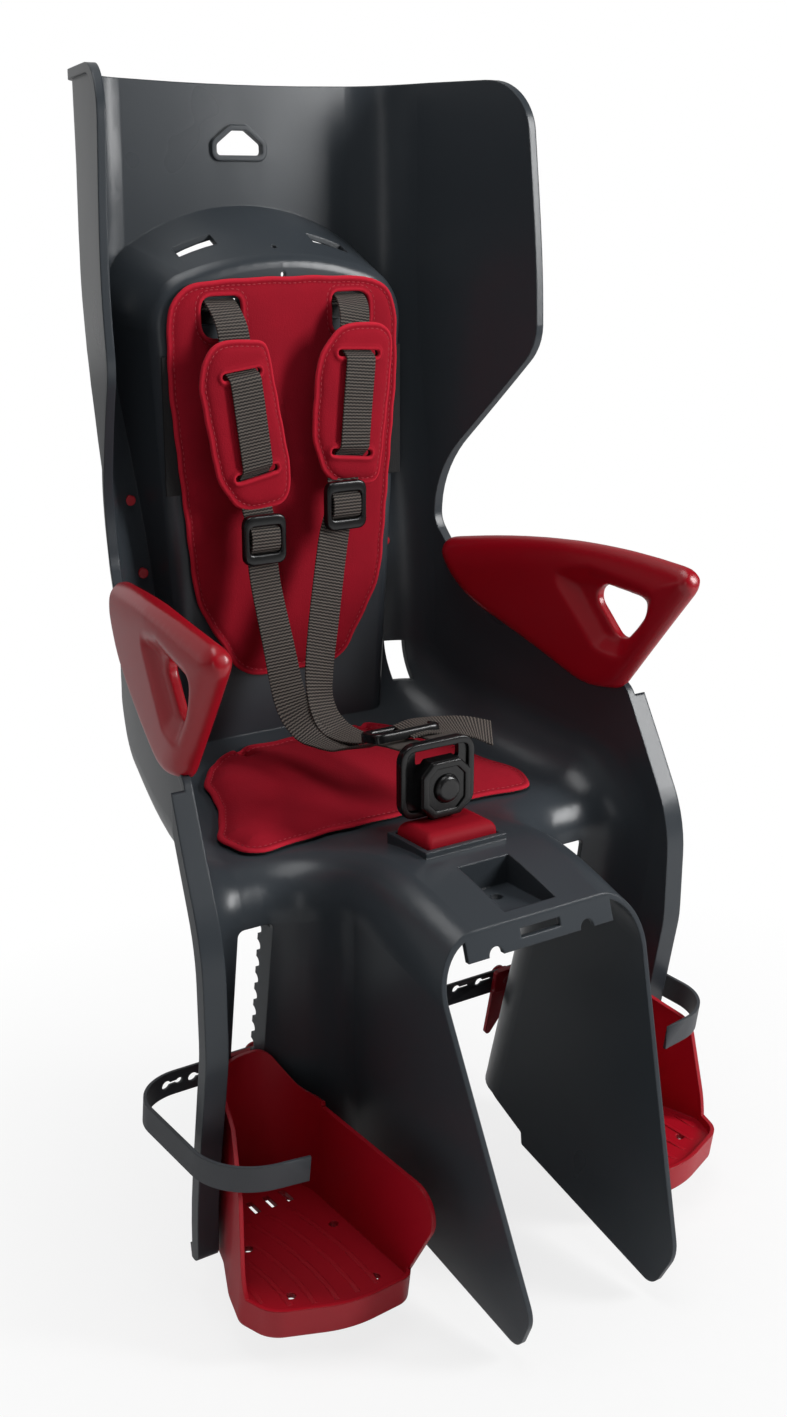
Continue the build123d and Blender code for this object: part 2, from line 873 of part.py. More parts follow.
def armrest():
    side = side_outline()
    profile = make_face(
        FilletPolyline(
            arm_tail,
            *arm_top,
            (rail_top_y, rail_top_z - arm_over),
            (arm_front_y, arm_front_z - arm_over),
            (arm_rear_y, arm_rear_z - arm_over),
            radius=arm_radii,
            close=True,
        )
    )
    body = envelope(wall + arm_outside) - envelope(-arm_inside)
    body = body & side_prism(profile, guard_split_x, reach)
    body = fillet(body.edges(), arm_r)
    hole = make_face(FilletPolyline(*arm_hole, radius=arm_hole_r, close=True))
    body -= side_prism(hole, guard_split_x, reach)
    low = hole.bounding_box().min
    high = hole.bounding_box().max
    rims = body.edges().filter_by(Axis.X, reverse=True).filter_by(
        lambda e: low.X - clear < e.center().Y < high.X + clear and low.Y < e.center().Z < high.Y + clear
    )
    body = fillet(rims, arm_hole_edge)
    groove = (envelope(wall + lip + clear) - envelope(-clear)) & side_prism(
        offset(side, clear), guard_split_x, reach
    )
    pegs = arm_pegs(arm_peg_r) & (envelope(wall + lip + 2 * clear) - envelope(-2 * clear))
    return body - groove + pegs


def leg_frame():
    # Frame on the rear face of the leg wall at the latch pin: X outwards, Y down the wall, Z rearwards.
    return Plane(origin=(pin_x, leg_rear(pin_z), pin_z), x_dir=(1, 0, 0), z_dir=(0, 1, leg_slope))


def slide_prism(face, z0, z1):
    # Prism along the slope of the leg wall, drawn at z0.
    slope = Vector(0, -leg_slope, 1)
    return extrude(Plane.XY.offset(z0) * face, (z1 - z0) * slope.length, dir=slope)


def tray_outline():
    rear = leg_y - leg_slope * tray_low_z - tray_gap
    return make_face(
        FilletPolyline(
            (tray_inner_x, tray_front_y),
            (tray_inner_x, rear),
            (tray_heel_x, rear),
            *tray_outer,
            radius=tray_radii,
            close=True,
        )
    )


def footrest():
    plan = tray_outline()
    body = slide_prism(plan, tray_low_z, tray_high_z)
    body = fillet(body.faces().sort_by(Axis.Z)[0].edges(), tray_foot_r)
    hollow = slide_prism(offset(plan, -tray_wall), tray_low_z, high_z)
    body -= hollow & block(0, reach, front_y, reach, tray_floor_z, high_z)
    body -= hollow & block(0, reach, front_y, reach, low_z, tray_floor_z - tray_floor)

    inner_side = make_face(
        FilletPolyline(
            (reach, tray_floor_z),
            (reach, tray_inner_z),
            (tray_inner_front, tray_inner_z),
            (tray_front_y + tray_radii[0] / 2, tray_floor_z),
            radius=[1, 1, 20, 1],
            close=True,
        )
    )
    outer_side = make_face(
        FilletPolyline(
            (reach, low_z),
            (reach, tray_heel_z - tray_heel_drop / 2),
            *tray_outer_rim,
            (tray_outer_front, tray_lip_z - 1),
            (tray_outer_front, low_z),
            radius=[1, 1, 80, 20, 20, 1],
            close=True,
        )
    )
    heel = make_face(
        FilletPolyline(
            (tray_heel_xs[0], low_z),
            (tray_heel_xs[0], tray_inner_z),
            (tray_heel_xs[1], tray_inner_z + tray_heel_drop),
            (tray_heel_xs[2], tray_heel_z),
            (tray_heel_xs[3], tray_heel_z),
            (reach, tray_heel_z - tray_heel_drop),
            (reach, low_z),
            radius=[1, 1, 24, 18, 14, 1, 1],
            close=True,
        )
    )
    keep = block(0, reach, front_y, reach, low_z, tray_lip_z)
    keep += side_prism(inner_side, 0, tray_inner_x + tray_wall)
    keep += side_prism(inner_side, 0, tray_inner_x + tray_radii[1]) & block(
        0, reach, tray_heel_y - tray_foot_r, reach, low_z, high_z
    )
    keep += side_prism(outer_side, tray_outer_x, reach)
    keep += front_prism(heel, tray_heel_y, reach)
    body &= keep
    body += side_prism(inner_side, tray_inner_x, tray_inner_x + tray_wall) & block(
        0, reach, front_y, tray_heel_y, low_z, high_z
    )
    for x, y in tray_hole_spots:
        body -= Pos(x, y, tray_floor_z) * Cylinder(tray_hole_r, 4 * tray_floor)
    for n in range(tray_slot_count):
        slot = Box(tray_slot_width, 3 * tray_slot_width, 4 * tray_floor)
        body -= Pos(tray_slot_x + tray_slot_pitch * n, tray_slot_y, tray_floor_z) * slot

    frame = leg_frame()
    length = rack_depth + carriage_gap + wall + tray_gap + tray_wall / 2
    out = (window_in + window_out) / 2 - pin_x
    arm = Pos(out, 0, rack_depth + carriage_gap - length / 2) * Box(arm_width, arm_height, length)
    return body + frame * arm


def footrest_carriage():
    out = (window_in + window_out) / 2 - pin_x + arm_width / 2
    x0 = -4 * pivot_r
    plate = Pos((x0 + out) / 2, 0, 0) * Box(out - x0, arm_height + 4, carriage_thick)
    plate = fillet(plate.edges().filter_by(Axis.Z), pivot_r)
    plate -= Cylinder(pivot_r + clear / 3, 4 * carriage_thick)
    return leg_frame() * (Pos(0, 0, rack_depth + carriage_gap + carriage_thick / 2) * plate)


def lever_z():
    return rack_depth + carriage_gap + carriage_thick + clear


def latch_lever():
    tooth_x = window_in - wall / 2 - pin_x
    tooth_y = arm_height + lever_tooth
    rounds = Circle(3 * pivot_r)
    rounds += Pos(tooth_x, tooth_y) * Circle(lever_tooth)
    rounds += Pos(-lever_lean, lever_length) * Circle(pivot_r)
    outline = make_hull(rounds.edges())
    body = extrude(Plane.XY.offset(lever_z()) * outline, lever_thick)
    depth = lever_z() - rack_depth - clear
    tooth = Pos(tooth_x, tooth_y, rack_depth + clear + depth / 2) * Box(wall, lever_tooth, depth)
    body = body + tooth - Cylinder(pivot_r + clear, 200)
    return leg_frame() * body


def strap_z():
    return lever_z() + lever_thick + clear


def latch_pin():
    foot = rack_depth + carriage_gap
    head = strap_z() + strap_thick + 2 * clear
    shank = Pos(0, 0, (foot + head) / 2) * Cylinder(pivot_r, head - foot)
    knob = Pos(0, 0, head + knob_thick / 2) * Cylinder(knob_r, knob_thick)
    knob = fillet(knob.faces().sort_by(Axis.Z)[-1].edges(), knob_thick / 3)
    return leg_frame() * (shank + knob)


def foot_strap():
    z0 = pin_z - strap_height / 2
    stretch = Vector(0, -leg_slope, 1).length
    rear = leg_rear(z0) + (strap_z() + strap_thick / 2) * stretch
    path = FilletPolyline(
        (strap_spare_x, rear),
        (strap_out_x, rear),
        (strap_out_x, strap_end_y + strap_height / 2),
        (strap_end_x, strap_end_y),
        radius=[strap_rear_r, strap_front_r],
    )
    body = slide_prism(trace(path, strap_thick), z0, z0 + strap_height)
    frame = leg_frame()
    for n in range(3):
        hole = Pos(-strap_hole_pitch * n, 0, 0) * Cylinder(pivot_r + 2 * clear, 200)
        if n > 0:
            hole += Pos(-strap_hole_pitch * n + knob_r, 0, 0) * Box(2 * knob_r, pivot_r, 200)
        body -= frame * (Pos(0, 0, 100 + lever_z()) * hole)
    return body


def left_right(name, shape):
    return {name + "_left": shape, name + "_right": x_mirror(shape)}


def build():
    inner = rider_space(0)
    drop = slider_height / 2 + wall
    nodes = {
        "seat_shell": seat_shell(inner),
        "back_pad": back_pad(),
        "pad_strips": pad_strips(),
        "seat_cushion": seat_cushion(),
        "crotch_block": crotch_block(),
        "buckle_stalk": buckle_stalk(),
        "stalk_clip": stalk_clip(),
        "buckle_body": buckle_body(),
        "buckle_button": buckle_button(),
        "button_spring": button_spring(),
        "buckle_tongue": buckle_tongue(),
        "shoulder_webbing_left": shoulder_strap(1, strap_left_xs, slider_left_z - drop),
        "shoulder_webbing_right": shoulder_strap(-1, strap_right_xs, slider_right_z - drop),
        "anchor_bar_left": anchor_bar(1),
        "anchor_bar_right": anchor_bar(-1),
        "strap_slider_left": strap_slider(slider_left_x, slider_left_z),
        "strap_slider_right": strap_slider(slider_right_x, slider_right_z),
        "lap_slider": lap_slider(),
        "strap_tail": strap_tail(),
        "shoulder_pad_left": shoulder_pad(1, shoulder_left_shift),
        "shoulder_pad_right": shoulder_pad(-1, shoulder_right_shift),
        "back_pins": both_sides(back_pins(rider_space(-clear))),
    }
    nodes.update(left_right("armrest", armrest()))
    nodes.update(left_right("footrest", footrest()))
    nodes.update(left_right("footrest_carriage", footrest_carriage()))
    nodes.update(left_right("latch_lever", latch_lever()))
    nodes.update(left_right("latch_pin", latch_pin()))
    nodes.update(left_right("foot_strap", foot_strap()))
    os.makedirs("parts", exist_ok=True)
    for name, shape in nodes.items():
        export_step(shape, "parts/" + name + ".step")


build()
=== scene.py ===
import bpy
import bmesh
import json
import math
import numpy as np
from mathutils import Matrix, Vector
from mathutils.bvhtree import BVHTree
from mathutils.geometry import delaunay_2d_cdt


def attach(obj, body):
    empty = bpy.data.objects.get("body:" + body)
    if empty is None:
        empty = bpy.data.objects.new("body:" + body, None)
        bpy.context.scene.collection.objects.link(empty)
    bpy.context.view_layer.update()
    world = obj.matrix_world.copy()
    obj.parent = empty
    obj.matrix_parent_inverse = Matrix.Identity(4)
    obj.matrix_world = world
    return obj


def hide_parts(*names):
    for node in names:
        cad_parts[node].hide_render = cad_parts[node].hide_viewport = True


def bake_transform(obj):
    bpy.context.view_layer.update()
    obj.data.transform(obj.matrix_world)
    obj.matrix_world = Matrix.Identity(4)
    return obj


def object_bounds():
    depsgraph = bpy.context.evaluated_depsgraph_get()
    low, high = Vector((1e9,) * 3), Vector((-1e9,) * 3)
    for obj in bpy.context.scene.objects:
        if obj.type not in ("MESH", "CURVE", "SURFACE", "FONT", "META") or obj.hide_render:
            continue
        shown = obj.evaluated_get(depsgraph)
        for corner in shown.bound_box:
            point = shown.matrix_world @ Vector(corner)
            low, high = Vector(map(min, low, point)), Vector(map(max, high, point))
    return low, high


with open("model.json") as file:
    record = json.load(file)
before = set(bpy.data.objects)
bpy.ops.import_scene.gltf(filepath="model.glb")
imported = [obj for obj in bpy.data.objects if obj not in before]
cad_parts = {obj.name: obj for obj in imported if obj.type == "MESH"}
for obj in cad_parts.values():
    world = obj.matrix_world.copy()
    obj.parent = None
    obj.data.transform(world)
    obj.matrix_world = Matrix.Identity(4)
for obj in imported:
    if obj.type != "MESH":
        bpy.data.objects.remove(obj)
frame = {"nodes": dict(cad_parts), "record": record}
cadLow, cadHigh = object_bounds()
nodes = frame["nodes"]
scene = bpy.context.scene
print("frame loaded")


# Materials, with lengths in metres

plastic = {
    "grainDetail": 3, "grainDepth": 0.0004, "cloudScale": 9, "cloudDetail": 2, "cloudShade": 0.93,
    "roughSpread": 0.04, "edge": 0.0012, "coat": 0, "coatRough": 0.1, "specular": 0.5,
}
fabric = {
    "knitDetail": 2, "knitDepth": 0.0008, "cloudScale": 30, "cloudDetail": 3, "cloudShade": 0.86,
    "rough": 0.92, "sheenRough": 0.45, "specular": 0.2,
}
weave = {"columnShift": 0.9, "rough": 0.7, "specular": 0.35, "bump": 0.9, "bumpDepth": 0.0009}
bevelSamples = 4


def linear(color):
    # Display values of 0-255 as the linear ones of shaders.
    return [
        ((c / 255 + 0.055) / 1.055) ** 2.4 if c > 10 else c / 255 / 12.92 for c in color
    ] + [1]


def newLook(name):
    look = bpy.data.materials.new(name)
    look.use_nodes = True
    return look, look.node_tree, look.node_tree.nodes["Principled BSDF"]


def mathNode(tree, operation, *values):
    node = tree.nodes.new("ShaderNodeMath")
    node.operation = operation
    for socket, value in zip(node.inputs, values):
        if isinstance(value, (int, float)):
            socket.default_value = value
        else:
            tree.links.new(value, socket)
    return node.outputs[0]


def objectPlace(tree):
    coords = tree.nodes.new("ShaderNodeTexCoord")
    return coords.outputs["Object"]


def objectNoise(tree, scale, detail):
    noise = tree.nodes.new("ShaderNodeTexNoise")
    noise.inputs["Scale"].default_value = scale
    noise.inputs["Detail"].default_value = detail
    tree.links.new(objectPlace(tree), noise.inputs["Vector"])
    return noise.outputs["Fac"]


def ranged(tree, value, fromLow, fromHigh, low, high):
    node = tree.nodes.new("ShaderNodeMapRange")
    node.inputs["From Min"].default_value = fromLow
    node.inputs["From Max"].default_value = fromHigh
    node.inputs["To Min"].default_value = low
    node.inputs["To Max"].default_value = high
    tree.links.new(value, node.inputs["Value"])
    return node.outputs["Result"]


def bumped(tree, shader, height, strength, depth, edge=0):
    bump = tree.nodes.new("ShaderNodeBump")
    bump.inputs["Strength"].default_value = strength
    bump.inputs["Distance"].default_value = depth
    tree.links.new(height, bump.inputs["Height"])
    if edge:  # moulded edges catch the light
        soft = tree.nodes.new("ShaderNodeBevel")
        soft.samples = bevelSamples
        soft.inputs["Radius"].default_value = edge
        tree.links.new(soft.outputs["Normal"], bump.inputs["Normal"])
    tree.links.new(bump.outputs["Normal"], shader.inputs["Normal"])


def mixedColor(tree, factor, first, second):
    mix = tree.nodes.new("ShaderNodeMix")
    mix.data_type = "RGBA"
    for socket, value in ((mix.inputs[6], first), (mix.inputs[7], second)):
        if isinstance(value, (list, tuple)):
            socket.default_value = linear(value)
        else:
            tree.links.new(value, socket)
    tree.links.new(factor, mix.inputs[0])
    return mix.outputs[2]


def clouded(tree, values):
    cloud = objectNoise(tree, values["cloudScale"], values["cloudDetail"])
    dark = [c * values["cloudShade"] for c in values["color"]]
    return cloud, mixedColor(tree, cloud, dark, values["color"])


def plasticLook(name, given):
    values = {**plastic, **given}
    look, tree, shader = newLook(name)
    grain = objectNoise(tree, values["grainScale"], values["grainDetail"])
    cloud, base = clouded(tree, values)
    tree.links.new(base, shader.inputs["Base Color"])
    rough, spread = values["rough"], values["roughSpread"]
    uneven = ranged(tree, cloud, 0, 1, rough - spread, rough + spread)
    tree.links.new(uneven, shader.inputs["Roughness"])
    bumped(tree, shader, grain, values["grain"], values["grainDepth"], values["edge"])
    shader.inputs["Coat Weight"].default_value = values["coat"]
    shader.inputs["Coat Roughness"].default_value = values["coatRough"]
    shader.inputs["Specular IOR Level"].default_value = values["specular"]
    return look


def fabricLook(name, given):
    values = {**fabric, **given}
    look, tree, shader = newLook(name)
    knit = objectNoise(tree, values["knitScale"], values["knitDetail"])
    _, base = clouded(tree, values)
    # Painted highlight: a lighter red is mixed in along the pad edges, where the hem catches the
    # light; the same colour also tints the sheen.
    paintedHemLight = tree.nodes.new("ShaderNodeAttribute")
    paintedHemLight.attribute_name = "paintedHemLight"
    paintedHemLit = mixedColor(tree, paintedHemLight.outputs["Fac"], base, values["paintedHemLightAndSheenTint"])
    tree.links.new(paintedHemLit, shader.inputs["Base Color"])
    shader.inputs["Roughness"].default_value = values["rough"]
    shader.inputs["Sheen Weight"].default_value = values["sheen"]
    shader.inputs["Sheen Roughness"].default_value = values["sheenRough"]
    shader.inputs["Sheen Tint"].default_value = linear(values["paintedHemLightAndSheenTint"])
    shader.inputs["Specular IOR Level"].default_value = values["specular"]
    bumped(tree, shader, knit, values["knit"], values["knitDepth"])
    return look


def webbingLook(name, given):
    # Ribs across the strap, from 0 in a gap to 1 on top, shifted in every other warp column. The
    # colour runs from painted shade in the gaps to lighter rib tops.
    values = {**weave, **given}
    look, tree, shader = newLook(name)
    uv = tree.nodes.new("ShaderNodeUVMap")
    split = tree.nodes.new("ShaderNodeSeparateXYZ")
    tree.links.new(uv.outputs["UV"], split.inputs["Vector"])
    column = mathNode(tree, "FLOOR", mathNode(tree, "DIVIDE", split.outputs["Y"], values["warp"]))
    shift = mathNode(tree, "MULTIPLY", mathNode(tree, "PINGPONG", column, 1), values["columnShift"])
    along = mathNode(tree, "MULTIPLY", split.outputs["X"], 2 * math.pi / values["rib"])
    wave = mathNode(tree, "SINE", mathNode(tree, "ADD", along, shift))
    height = mathNode(tree, "MULTIPLY_ADD", wave, 0.5, 0.5)
    # Painted shade: near black down in the gaps between ribs, lighter on their tops.
    paintedRibShade = mixedColor(tree, height, values["paintedGapShade"], values["color"])
    tree.links.new(paintedRibShade, shader.inputs["Base Color"])
    shader.inputs["Roughness"].default_value = values["rough"]
    shader.inputs["Specular IOR Level"].default_value = values["specular"]
    bumped(tree, shader, height, values["bump"], values["bumpDepth"])
    return look


looks = {
    "shell": plasticLook("shellPlastic", {
        "color": (55, 60, 65), "rough": 0.29, "grain": 0.08, "grainScale": 1100,
        "edge": 0.0018, "specular": 0.3,
    }),
    # Red fabric: a lighter red is painted along the pad edges as a highlight.
    "red_fabric": fabricLook("redFabric", {
        "color": (156, 12, 34), "paintedHemLightAndSheenTint": (190, 30, 50), "knit": 0.35, "knitScale": 900,
        "sheen": 0.12,
    }),
    "red_foam": plasticLook("redFoam", {
        "color": (146, 10, 28), "rough": 0.6, "grain": 0.15, "grainScale": 900, "specular": 0.12,
    }),
    "red_gloss": plasticLook("redGloss", {
        "color": (158, 4, 24), "rough": 0.32, "grain": 0.02, "grainScale": 300,
        "coat": 0.12, "specular": 0.4,
    }),
    "red_plastic": plasticLook("redPlastic", {
        "color": (172, 8, 30), "rough": 0.42, "grain": 0.1, "grainScale": 900, "specular": 0.4,
    }),
    "hook_strip": plasticLook("hookStrip", {
        "color": (20, 20, 21), "rough": 0.9, "grain": 0.9, "grainScale": 900,
    }),
    "black_plastic": plasticLook("blackPlastic", {
        "color": (13, 13, 14), "rough": 0.24, "grain": 0.04, "grainScale": 600,
        "edge": 0.0008, "specular": 0.4,
    }),
    "button": plasticLook("buttonPlastic", {
        "color": (15, 15, 16), "rough": 0.28, "grain": 0.04, "grainScale": 600,
    }),
    "spring_steel": plasticLook("springSteel", {
        "color": (150, 150, 152), "rough": 0.3, "grain": 0.05, "grainScale": 500,
    }),
    # Webbing: the dark colour is painted shade in the gaps between the ribs.
    "webbing": webbingLook("webbing", {
        "color": (98, 90, 84), "paintedGapShade": (7, 6, 6), "rib": 0.0024, "warp": 0.0016,
    }),
    "strap_rubber": plasticLook("strapRubber", {
        "color": (58, 61, 66), "rough": 0.5, "grain": 0.2, "grainScale": 900,
    }),
}
underLook = plasticLook("underFabric", {
    "color": (14, 13, 14), "rough": 0.92, "grain": 0.7, "grainScale": 800,
})
threadLook = plasticLook("redThread", {
    "color": (176, 40, 56), "rough": 0.7, "grain": 0.5, "grainScale": 2500, "edge": 0,
})
print("materials made")


# Mesh helpers, in mm and degrees

sides = (("left", "Left", 1), ("right", "Right", -1))
toMetre = 0.001
toMm = 1000
tiny = 1e-12
farAway = 1e9
weldDistance = 1e-6  # metres
sharpAngles = {
    "frame": 30, "copy": 40, "rib": 40, "ring": 45, "solid": 50, "ribbon": 60, "cloth": 70,
    "stitch": 80,
}


def newObject(name, data):
    thing = bpy.data.objects.new(name, data)
    scene.collection.objects.link(thing)
    return thing


def mmMesh(name, points, faces, look):
    data = bpy.data.meshes.new(name)
    data.from_pydata([tuple(float(c) * toMetre for c in p) for p in points], [], faces)
    data.materials.append(look)
    return data


def meshObject(name, points, faces, look, kind="solid"):
    thing = newObject(name, mmMesh(name, points, faces, look))
    outward(thing, kind)
    return thing


def shaded(data, kind):
    data.shade_smooth()
    data.set_sharp_from_angle(angle=math.radians(sharpAngles[kind]))


def outward(thing, kind):
    work = bmesh.new()
    work.from_mesh(thing.data)
    bmesh.ops.remove_doubles(work, verts=work.verts, dist=weldDistance)
    bmesh.ops.recalc_face_normals(work, faces=work.faces)
    work.to_mesh(thing.data)
    work.free()
    shaded(thing.data, kind)


def nodeCopy(name, node):
    data = nodes[node].data.copy()
    data.name = name
    thing = newObject(name, data)
    outward(thing, "copy")
    return thing


def settle(thing):
    graph = bpy.context.evaluated_depsgraph_get()
    data = bpy.data.meshes.new_from_object(thing.evaluated_get(graph))
    old = thing.data
    thing.modifiers.clear()
    thing.data = data
    bpy.data.meshes.remove(old)


def seat(thing, body, slot, *replaced):
    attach(thing, body)
    if replaced:
        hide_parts(*replaced)


def surfaceTree(data):
    return BVHTree.FromPolygons([v.co for v in data.vertices], [p.vertices for p in data.polygons])


def stripFaces(rows, size, closed=False):
    # Quads from each row of a section to the next, back to the first if closed.
    faces = []
    for row in range(rows if closed else rows - 1):
        here, there = row * size, (row + 1) % rows * size
        for i in range(size):
            j = (i + 1) % size
            faces.append((here + i, here + j, there + j, there + i))
    return faces


def tubeFaces(rows, size):
    last = (rows - 1) * size
    return stripFaces(rows, size) + [tuple(range(size)), tuple(range(last, last + size))]


def facing(front):
    # Lays a flat outline upright at the given depth, with its height towards the front.
    return lambda flat, w: np.column_stack([flat[:, 0], front - w, flat[:, 1]])


outlines = {"fewest": 4, "cornerPoints": 12, "cornerShare": 0.49}


def evenly(points, step=None, closed=True, count=0):
    points = np.array(points, float)
    if closed:
        points = np.vstack([points, points[:1]])
    spans = np.linalg.norm(np.diff(points, axis=0), axis=1)
    along = np.concatenate([[0], np.cumsum(spans)])
    count = count or max(int(along[-1] / step), outlines["fewest"])
    marks = np.linspace(0, along[-1], count + 1)[: count if closed else count + 1]
    return np.column_stack([np.interp(marks, along, points[:, k]) for k in range(points.shape[1])])


def rounded(corners, radii, step=None, count=0):
    # A closed outline with rounded corners, as points a step apart or as so many points.
    corners = np.array(corners, float)
    points = []
    for i, corner in enumerate(corners):
        toLast = corners[i - 1] - corner
        toNext = corners[(i + 1) % len(corners)] - corner
        lastLength, nextLength = np.linalg.norm(toLast), np.linalg.norm(toNext)
        toLast, toNext = toLast / lastLength, toNext / nextLength
        half = math.acos(max(-1, min(1, float(toLast @ toNext)))) / 2
        longest = outlines["cornerShare"] * min(lastLength, nextLength)
        setback = min(radii[i] / math.tan(half), longest)
        start, end = corner + toLast * setback, corner + toNext * setback
        for t in np.linspace(0, 1, outlines["cornerPoints"]):
            points.append((1 - t) ** 2 * start + 2 * t * (1 - t) * corner + t * t * end)
    return evenly(points, step, count=count)


def sliderLoops(middle, values):
    # The outlines of a slider and of its window, with equal numbers of points.
    x, z = middle
    loops = []
    for width, length, corner in (
        (values["width"], values["length"], values["corner"]),
        (values["windowWidth"], values["windowLength"], values["windowCorner"]),
    ):
        u, v = width / 2, length / 2
        corners = [(x - u, z - v), (x + u, z - v), (x + u, z + v), (x - u, z + v)]
        loops.append(rounded(corners, [corner] * 4, count=values["count"]))
    return loops


def segmentDistance(points, start, end):
    edge = end - start
    t = np.clip(((points - start) @ edge) / max(edge @ edge, tiny), 0, 1)
    return np.linalg.norm(points - start - t[:, None] * edge, axis=1)


def depthInside(points, loops):
    # Distance to the nearest edge, negative outside the first loop or within a hole.
    best = np.full(len(points), farAway)
    inside = np.zeros(len(points), bool)
    for loop in loops:
        for start, end in zip(loop, np.roll(loop, -1, axis=0)):
            best = np.minimum(best, segmentDistance(points, start, end))
            edge = end - start
            if abs(edge[1]) > tiny:
                spans = (start[1] > points[:, 1]) != (end[1] > points[:, 1])
                reachX = edge[0] * (points[:, 1] - start[1]) / edge[1] + start[0]
                inside ^= spans & (points[:, 0] < reachX)
    return np.where(inside, best, -best)


sheets = {
    "probe": 0.2, "insetShare": 0.97, "rowShare": 0.866, "clearShare": 0.6, "joinDistance": 1e-5,
    "edgeDepth": 0.02, "paintedHemLightShare": 0.8, "paintedHemLightFade": 1.5,
}


def insetRing(loop, loops, inset):
    # The loop moved into the cloth, without the points that run into another edge.
    turn = np.roll(loop, -1, axis=0) - np.roll(loop, 1, axis=0)
    normal = np.column_stack([-turn[:, 1], turn[:, 0]]) / np.linalg.norm(turn, axis=1)[:, None]
    if np.mean(depthInside(loop + normal * sheets["probe"], loops)) < 0:
        normal = -normal
    inner = loop + normal * inset
    return inner[depthInside(inner, loops) > inset * sheets["insetShare"]]


def flatSheet(loops, rings, spacing):
    # Triangles between the loops, with rows of points along the edges and a grid within.
    points, edges = [], []
    for loop in loops:
        first = len(points)
        points += list(loop)
        edges += [(first + i, first + (i + 1) % len(loop)) for i in range(len(loop))]
        for ring in rings:
            points += list(insetRing(loop, loops, ring))
    low, high = np.min(loops[0], axis=0), np.max(loops[0], axis=0)
    rows = []
    for row, v in enumerate(np.arange(low[1], high[1], spacing * sheets["rowShare"])):
        us = np.arange(low[0] + (row % 2) * spacing / 2, high[0], spacing)
        rows.append(np.column_stack([us, np.full(len(us), v)]))
    grid = np.vstack(rows)
    points += list(grid[depthInside(grid, loops) > rings[-1] + spacing * sheets["clearShare"]])
    flat, _, faces, *_ = delaunay_2d_cdt(
        [Vector(p) for p in points], edges, [], 0, sheets["joinDistance"]
    )
    flat = np.array([(p.x, p.y) for p in flat])
    faces = np.array([f for f in faces if len(f) == 3])
    faces = faces[depthInside(flat[faces].mean(axis=1), loops) > 0]
    return flat, faces


def padObject(name, loops, values, lay):
    # The first loop is the pad's edge, the others are the holes, each with its own hem.
    edgeDepth, edgeHeight = zip(*values["profile"])
    rings = sorted({d for d in edgeDepth if 0 < d <= values["ringEnd"]})
    flat, faces = flatSheet(loops, rings, values["spacing"])
    used = np.unique(faces)
    order = -np.ones(len(flat), int)
    order[used] = np.arange(len(used))
    flat, faces = flat[used], order[faces]
    depth = depthInside(flat, loops)
    height = np.interp(depthInside(flat, loops[:1]), edgeDepth, edgeHeight)
    if len(loops) > 1:
        holeDepth, holeHeight = zip(*values["hemProfile"])
        fromHole = -np.max([depthInside(flat, [loop]) for loop in loops[1:]], axis=0)
        height += np.interp(fromHole, holeDepth, holeHeight)
    edge = depth < sheets["edgeDepth"]
    lower = np.arange(len(flat))
    lower[~edge] = len(flat) + np.arange(np.count_nonzero(~edge))
    top = lay(flat, height)
    bottom = lay(flat[~edge], np.full(np.count_nonzero(~edge), values["under"]))
    points = np.vstack([top, bottom])
    allFaces = [tuple(int(i) for i in f) for f in faces]
    allFaces += [tuple(int(i) for i in lower[f[::-1]]) for f in faces]
    thing = meshObject(name, points, allFaces, looks["red_fabric"], "cloth")
    thing.data.materials.append(underLook)
    faceSlots = np.zeros(len(allFaces), np.int32)
    faceSlots[len(faces):] = 1
    thing.data.polygons.foreach_set("material_index", faceSlots)
    # Painted highlight along each pad edge: full at the edge, fading to none inward over its band.
    paintedHemLight = np.zeros(len(points))
    paintedHemLightDepths = [0, values["paintedHemLight"], values["paintedHemLight"] * sheets["paintedHemLightFade"]]
    paintedHemLight[: len(depth)] = np.interp(depth, paintedHemLightDepths, [1, sheets["paintedHemLightShare"], 0])
    paintedHemLightLayer = thing.data.attributes.new("paintedHemLight", "FLOAT", "POINT")
    paintedHemLightLayer.data.foreach_set("value", paintedHemLight.astype(np.float32))
    pinned = np.ones(len(points), bool)
    pinned[: len(depth)] = depth < values["hem"]
    return thing, np.nonzero(pinned)[0]


filling = {"quality": 6, "mass": 0.2, "stiffness": 25, "bending": 2, "frames": 20}


def puff(thing, pinned, values):
    # The filling presses the cover out between its pinned hems.
    group = thing.vertex_groups.new(name="hem")
    group.add([int(i) for i in pinned], 1, "REPLACE")
    before = np.array([v.co for v in thing.data.vertices])
    cloth = thing.modifiers.new("cloth", "CLOTH")
    settings = cloth.settings
    settings.vertex_group_mass = "hem"
    settings.quality = filling["quality"]
    settings.mass = filling["mass"]
    settings.tension_stiffness = filling["stiffness"]
    settings.compression_stiffness = filling["stiffness"]
    settings.bending_stiffness = filling["bending"]
    settings.use_pressure = True
    settings.uniform_pressure_force = values["pressure"]
    settings.effector_weights.gravity = 0
    cloth.point_cache.frame_start = 1
    cloth.point_cache.frame_end = filling["frames"]
    for step in range(1, filling["frames"] + 1):
        scene.frame_set(step)
    graph = bpy.context.evaluated_depsgraph_get()
    after = np.array([v.co for v in thing.evaluated_get(graph).data.vertices])
    thing.modifiers.clear()
    thing.vertex_groups.clear()
    scene.frame_set(1)
    move = after - before
    length = np.linalg.norm(move, axis=1)
    move *= np.minimum(1, values["limit"] * toMetre / np.maximum(length, tiny))[:, None]
    thing.data.vertices.foreach_set("co", (before + move).astype(np.float32).ravel())
    thing.data.update()
    print(thing.name, "cloth moved", round(float(length.max()) * toMm, 2), "mm")


